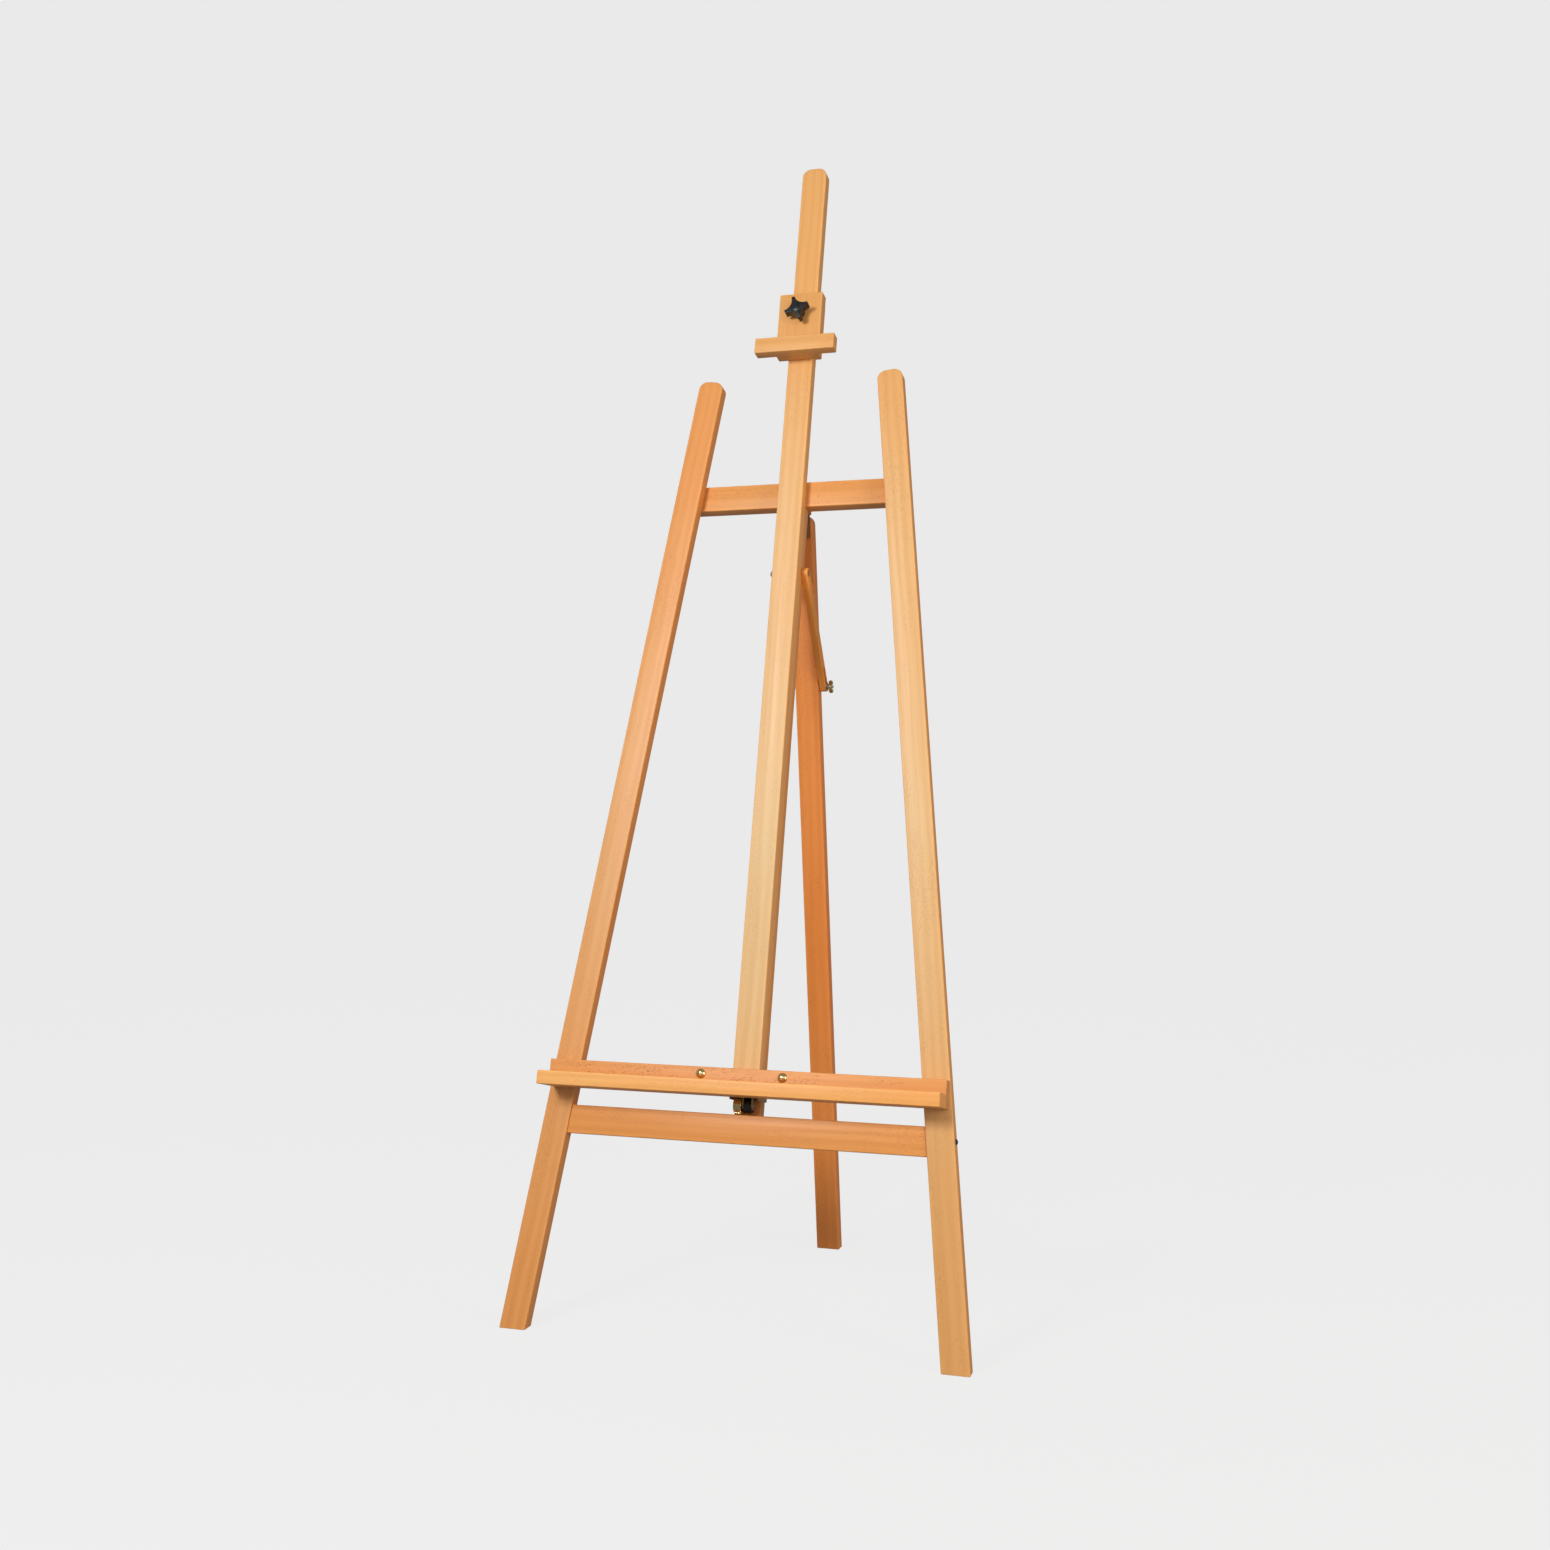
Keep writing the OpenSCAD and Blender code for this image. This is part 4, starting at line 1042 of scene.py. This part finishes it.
class EASEL_OT_pan_screws(EaselOperator, bpy.types.Operator):
    """Build the black pan head screws on the legs' outer sides"""

    bl_idname = "easel.pan_screws"
    bl_label = "Pan Head Screws"

    def execute(self, context):
        height = 2.8 * MM
        pieces = []
        for side in (-1, 1):
            head = dome_cap(4.6 * MM, height)
            recess(head, (0, 0, height), 2, 1.6 * MM, 2.3 * MM, 0.9 * MM)
            shank = rod("shank", (0, 0, 0.1 * MM), "Z", 2 * MM, -80 * MM, 20, 0.9 * MM)
            screw = join([head, shank], "pan")
            spot = (side * BATTEN_HALF, (BATTEN_T + LOWER_BAR_FRONT) / 2,
                    LOWER_BAR_MID / math.cos(SPLAY))
            put(screw, leg_matrix(side) @ Matrix.Translation(spot)
                @ Matrix.Rotation(side * math.radians(90), 4, "Y"))
            pieces.append(screw)
        obj = join(pieces, "pan_head_screw_pair")
        smooth(obj, 30)
        finished(obj, black_steel(), "frame", "black_screw", "lower_crossbar_screws")
        return {"FINISHED"}


def dome_bolt(cap_radius, cap_height, shank_radius, length, name):
    """A dome head on z = 0 with its shank pointing along -z."""
    cap = dome_cap(cap_radius, cap_height)
    shank = rod("shank", (0, 0, 0.1 * MM), "Z", shank_radius, -length, 24)
    ease(shank, sizes().metal_edge, 2)
    return join([cap, shank], name)


class EASEL_OT_dome_bolts(EaselOperator, bpy.types.Operator):
    """Build the tray's brass dome bolts and the stay's two bolts"""

    bl_idname = "easel.dome_bolts"
    bl_label = "Dome Bolts"

    def execute(self, context):
        pieces = []
        for side in (-1, 1):
            bolt = dome_bolt(7.3 * MM, 4.5 * MM, 3 * MM, 26.5 * MM, "bolt")
            put(bolt, FRAME @ Matrix.Translation((side * BOLT_X, TRAY_FRONT, BOLT_Z))
                @ Matrix.Rotation(math.radians(90), 4, "X"))
            pieces.append(bolt)
        obj = join(pieces, "brass_dome_bolts")
        smooth(obj, 30)
        finished(obj, brass(), "carriage", "brass", "collar_bolts")

        head_t = 2.5 * MM
        head = rod("head", (STAY_OUT - head_t, PIVOT_Y, PIVOT_Z), "X", 5.5 * MM, head_t, 64)
        ease(head, 0.4 * MM, 2)
        shank = rod("shank", (-26.5 * MM, PIVOT_Y, PIVOT_Z), "X", 3 * MM, 54.5 * MM, 32)
        bolt = join([head, shank], "stay_pivot_flat_bolt")
        put(bolt, FRAME)
        smooth(bolt, 30)
        finished(bolt, dark_steel(), "frame", "steel", "stay_pivot_bolt")

        bolt = dome_bolt(5.5 * MM, 3.2 * MM, 2.5 * MM, 60.7 * MM, "stay_clamp_dome_bolt")
        put(bolt, REAR @ Matrix.Translation((-REAR_HALF, LEG_MID, -STAY_BOLT))
            @ Matrix.Rotation(math.radians(-90), 4, "Y"))
        smooth(bolt, 30)
        finished(bolt, zinc(), "rear_leg", "steel", "stay_clamp_bolt")
        return {"FINISHED"}


class EASEL_OT_star_knob(EaselOperator, bpy.types.Operator):
    """Build the black four-lobed star knob"""

    bl_idname = "easel.star_knob"
    bl_label = "Star Knob"

    def execute(self, context):
        front = HOLDER_FRONT - 22.3 * MM
        star = rod("star", (0, front, 0), "Y", 19.5 * MM, 13 * MM, 96)
        for step in range(4):
            angle = math.radians(45 + 90 * step)
            x, z = 26.4 * MM * math.cos(angle), 26.4 * MM * math.sin(angle)
            cut(star, rod("scallop", (x, front - 0.01, z), "Y", 16 * MM, 0.05, 96))
        ease(star, 1.6 * MM, 4, 40)
        hub = rod("hub", (0, front + 12 * MM, 0), "Y", 9 * MM, 10 * MM, 64, 8.2 * MM)
        ease(hub, 0.6 * MM, 2, 40)
        cap = dome_cap(6.6 * MM, 0.9 * MM)
        put(cap, Matrix.Translation((0, front + 0.05 * MM, 0))
            @ Matrix.Rotation(math.radians(90), 4, "X"))
        obj = join([star, hub, cap], "star_clamp_knob")
        put(obj, FRAME @ Matrix.Translation((0, 0, KNOB_Z))
            @ Matrix.Rotation(math.radians(-20), 4, "Y"))
        smooth(obj, 35)
        finished(obj, black_plastic(), "knob", "black_plastic", "star_knob")
        return {"FINISHED"}


class EASEL_OT_clamp(EaselOperator, bpy.types.Operator):
    """Build the knurled clamp wheel and the eccentric cam"""

    bl_idname = "easel.clamp"
    bl_label = "Clamp Wheel and Cam"

    def execute(self, context):
        count = sizes().knurls
        outer, radius, width = -14.5 * MM, 12 * MM, 12 * MM
        wheel = rod("wheel", (outer, 0, 0), "X", radius, width, count * 2)
        ease(wheel, 0.9 * MM, 2, 60)

        def ridge(mesh, face):
            normal = face.normal
            if abs(normal.x) > 0.1 or face.area < 5e-6:
                return False
            angle = math.atan2(normal.z, normal.y)
            return int(math.floor(angle / math.tau * count * 2 + 0.5)) % 2 == 0
        edit_select(wheel, "FACE", ridge)
        bpy.ops.mesh.inset(thickness=0.12 * MM, depth=-0.35 * MM, use_individual=True)
        finish_edit()
        groove = rod("groove", (outer + 5.2 * MM, 0, 0), "X", 14 * MM, 1.6 * MM, 88)
        cut(groove, rod("core", (outer, 0, 0), "X", radius - 0.8 * MM, width, 88))
        cut(wheel, groove)
        cut(wheel, rod("face", (outer - 0.02, 0, 0), "X", 8 * MM, 0.0206, 64))
        put(wheel, FRAME @ Matrix.Translation((0, AXLE_Y, AXLE_Z)))
        smooth(wheel, 25)
        tidy(wheel)
        wheel.name = "knurled_clamp_wheel"
        finished(wheel, brass(), "clamp", "brass", "clamp_wheel")

        cam = rod("eccentric_cam", (-0.5 * MM, AXLE_Y + 2.2 * MM, AXLE_Z), "X", 10.1 * MM,
                  11.5 * MM, 72)
        ease(cam, 0.8 * MM, 3, 40)
        put(cam, FRAME)
        smooth(cam, 30)
        finished(cam, black_plastic(), "clamp", "black_plastic", "clamp_cam")
        return {"FINISHED"}


class EASEL_OT_wing_nut(EaselOperator, bpy.types.Operator):
    """Build the brass wing nut on the stay's clamp bolt"""

    bl_idname = "easel.wing_nut"
    bl_label = "Wing Nut"

    def execute(self, context):
        hub = rod("hub", (0, 0, 0), "X", 4.6 * MM, 6 * MM, 48, 3.8 * MM)
        ease(hub, sizes().metal_edge, 2, 40)
        cut(hub, rod("bore", (-0.01, 0, 0), "X", 2.6 * MM, 0.03, 32))
        parts = [hub]
        for side in (-1, 1):
            root, tip = side * 3 * MM, side * 6.4 * MM
            low, high = sorted((root, tip))
            wing = rod("wing", (5.6 * MM, -1.1 * MM, tip), "Y", 3.9 * MM, 2.2 * MM, 40)
            neck = block("neck", (1.7 * MM, -1.0 * MM, low), (6 * MM, 1.0 * MM, high))
            ease(wing, 0.7 * MM, 3, 40)
            ease(neck, sizes().metal_edge, 2, 40)
            parts += [wing, neck]
        obj = join(parts, "brass_wing_nut")
        put(obj, REAR @ Matrix.Translation((32.1 * MM, LEG_MID, -STAY_BOLT)))
        smooth(obj, 35)
        finished(obj, brass(), "wing_nut", "brass", "wing_nut")
        return {"FINISHED"}


KEPT = {
    "zinc": ["hinge_upper_screws", "hinge_lower_screws", "mast_guide_stud",
             "stay_pivot_washer", "stay_pivot_nut", "mast_screws", "collar_nuts",
             "cam_bracket_screws", "cam_axle", "holder_lip_screws", "knob_stud",
             "stay_spacer_washer", "wing_nut_washer"],
    "dark": ["hinge_upper_leaf", "hinge_lower_leaf", "hinge_pin", "guide_collar",
             "cam_bracket"],
    "brass": ["holder_insert"],
    "rubber": ["pressure_pad"],
    "dowel": ["lower_crossbar_dowels", "rail_dowel", "hinge_block_dowels"],
}


class EASEL_OT_fittings(EaselOperator, bpy.types.Operator):
    """Finish the fittings that keep their shape"""

    bl_idname = "easel.fittings"
    bl_label = "Fittings"

    def execute(self, context):
        dowel = beech("Beech dowels", (0.74, 0.50, 0.28), FRAME, 0.4, 0.4, (0, 0, 0.9), 0.2)
        finishes = {"zinc": zinc(), "dark": dark_steel(), "brass": brass(),
                    "rubber": pad_rubber(), "dowel": dowel}
        for finish, names in KEPT.items():
            for name in names:
                obj = frame["nodes"][name]
                if not obj.material_slots:
                    obj.data.materials.append(finishes[finish])
                for holder in obj.material_slots:
                    holder.material = finishes[finish]
        return {"FINISHED"}


class EASEL_OT_stage(EaselOperator, bpy.types.Operator):
    """Set the pale studio, the lights and the camera"""

    bl_idname = "easel.stage"
    bl_label = "Studio"

    def sweep(self):
        """A floor that curves up into a backdrop."""
        clear_selection()
        bpy.ops.mesh.primitive_plane_add(size=1, location=(0, 0, 0))
        obj = bpy.context.object
        obj.name = "studio_sweep"
        wide, deep, high = 40, 26, 16
        obj.scale = (wide, deep, 1)
        bpy.ops.object.transform_apply(location=True, rotation=True, scale=True)
        edit_select(obj, "EDGE", lambda mesh, edge: all(
            mesh.vertices[i].co.y > deep / 2 - 0.1 for i in edge.vertices))
        bpy.ops.mesh.extrude_region_move(TRANSFORM_OT_translate={"value": (0, 0, high)})
        finish_edit()
        edit_select(obj, "EDGE", lambda mesh, edge: all(
            mesh.vertices[i].co.y > deep / 2 - 0.1 and mesh.vertices[i].co.z < 0.1
            for i in edge.vertices))
        bpy.ops.mesh.bevel(offset=6.0, segments=24, profile=0.5, affect="EDGES")
        finish_edit()
        smooth(obj, 60)
        return obj

    def execute(self, context):
        scene = context.scene
        material, tree, shader, coords = new_material("Studio backdrop")
        pale = tuple(colours().backdrop)
        tint = spread(tree, noise(tree, coords, 0.6), 0.2, 0.8)
        colour = mix_colour(tree, tint, shaded(pale, 0.06), shaded(pale, 0.061))
        seen = add_node(tree, "LightPath", {}).outputs["Is Camera Ray"]
        glow = spread(tree, seen, 0.0, 1.0, 0.24, 0.96)
        for label, value in (("Base Color", colour), ("Roughness", 1.0),
                             ("Specular IOR Level", 0.0), ("Emission Color", pale),
                             ("Emission Strength", glow)):
            feed(tree, shader.inputs[label], value)
        obj = self.sweep()
        obj.data.materials.append(material)

        world = bpy.data.worlds.new("Studio light")
        scene.world = world
        world.use_nodes = True
        world.node_tree.nodes["Background"].inputs["Color"].default_value = (1, 1, 1, 1)
        world.node_tree.nodes["Background"].inputs["Strength"].default_value = 0.32

        white, warm = (1.0, 1.0, 1.0), (1.0, 0.84, 0.66)
        for name, place, aim, size, power, colour in (
                ("Key", (-0.95, -2.9, 2.15), (0, 0, 0.95), 0.8, 72, white),
                ("Fill", (1.3, -3.2, 1.9), (0, 0, 0.9), 1.4, 12, white),
                ("Side", (2.6, -1.2, 1.1), (0, 0, 0.8), 1.2, 32, warm)):
            lamp = bpy.data.lights.new(name, "AREA")
            lamp.color = colour
            lamp.size = size
            lamp.energy = power
            lamp_obj = bpy.data.objects.new(name, lamp)
            scene.collection.objects.link(lamp_obj)
            lamp_obj.location = place
            lamp_obj.rotation_euler = (Vector(aim) - Vector(place)).to_track_quat(
                "-Z", "Y").to_euler()

        camera = bpy.data.cameras.new("Camera")
        camera.sensor_width = 36
        camera.lens = 39.58
        camera.shift_x = -0.0031
        camera.shift_y = -0.0012
        camera_obj = bpy.data.objects.new("Camera", camera)
        scene.collection.objects.link(camera_obj)
        camera_obj.location = (0.7658, -2.4962, 0.7971)
        camera_obj.rotation_euler = (math.radians(90), 0, math.radians(17.17))
        scene.camera = camera_obj
        scene.view_settings.view_transform = "Standard"
        return {"FINISHED"}


OPERATORS = (
    EASEL_OT_front_legs, EASEL_OT_crossbars, EASEL_OT_center_rail, EASEL_OT_mast,
    EASEL_OT_tray, EASEL_OT_holder, EASEL_OT_rear_leg, EASEL_OT_stay, EASEL_OT_screws,
    EASEL_OT_pan_screws, EASEL_OT_dome_bolts, EASEL_OT_star_knob, EASEL_OT_clamp,
    EASEL_OT_wing_nut, EASEL_OT_fittings, EASEL_OT_stage,
)


class EASEL_PT_panel(bpy.types.Panel):
    """Sizes, colours and pieces of the easel."""

    bl_idname = "EASEL_PT_panel"
    bl_label = "Wooden Easel"
    bl_space_type = "VIEW_3D"
    bl_region_type = "UI"
    bl_category = "Easel"

    def draw(self, context):
        layout = self.layout
        scene = context.scene
        for group in (scene.easel_sizes, scene.easel_colours):
            column = layout.column(align=True)
            for name in group.__class__.__annotations__:
                column.prop(group, name)
        column = layout.column(align=True)
        for operator in OPERATORS:
            column.operator(operator.bl_idname)


CLASSES = (EaselSizes, EaselColours, *OPERATORS, EASEL_PT_panel)


def register():
    for cls in CLASSES:
        bpy.utils.register_class(cls)
    bpy.types.Scene.easel_sizes = PointerProperty(type=EaselSizes)
    bpy.types.Scene.easel_colours = PointerProperty(type=EaselColours)


def unregister():
    del bpy.types.Scene.easel_colours
    del bpy.types.Scene.easel_sizes
    for cls in reversed(CLASSES):
        bpy.utils.unregister_class(cls)


def main():
    register()
    for operator in OPERATORS:
        group, name = operator.bl_idname.split(".")
        getattr(getattr(bpy.ops, group), name)()
    clear_selection()


if __name__ == "__main__":
    main()
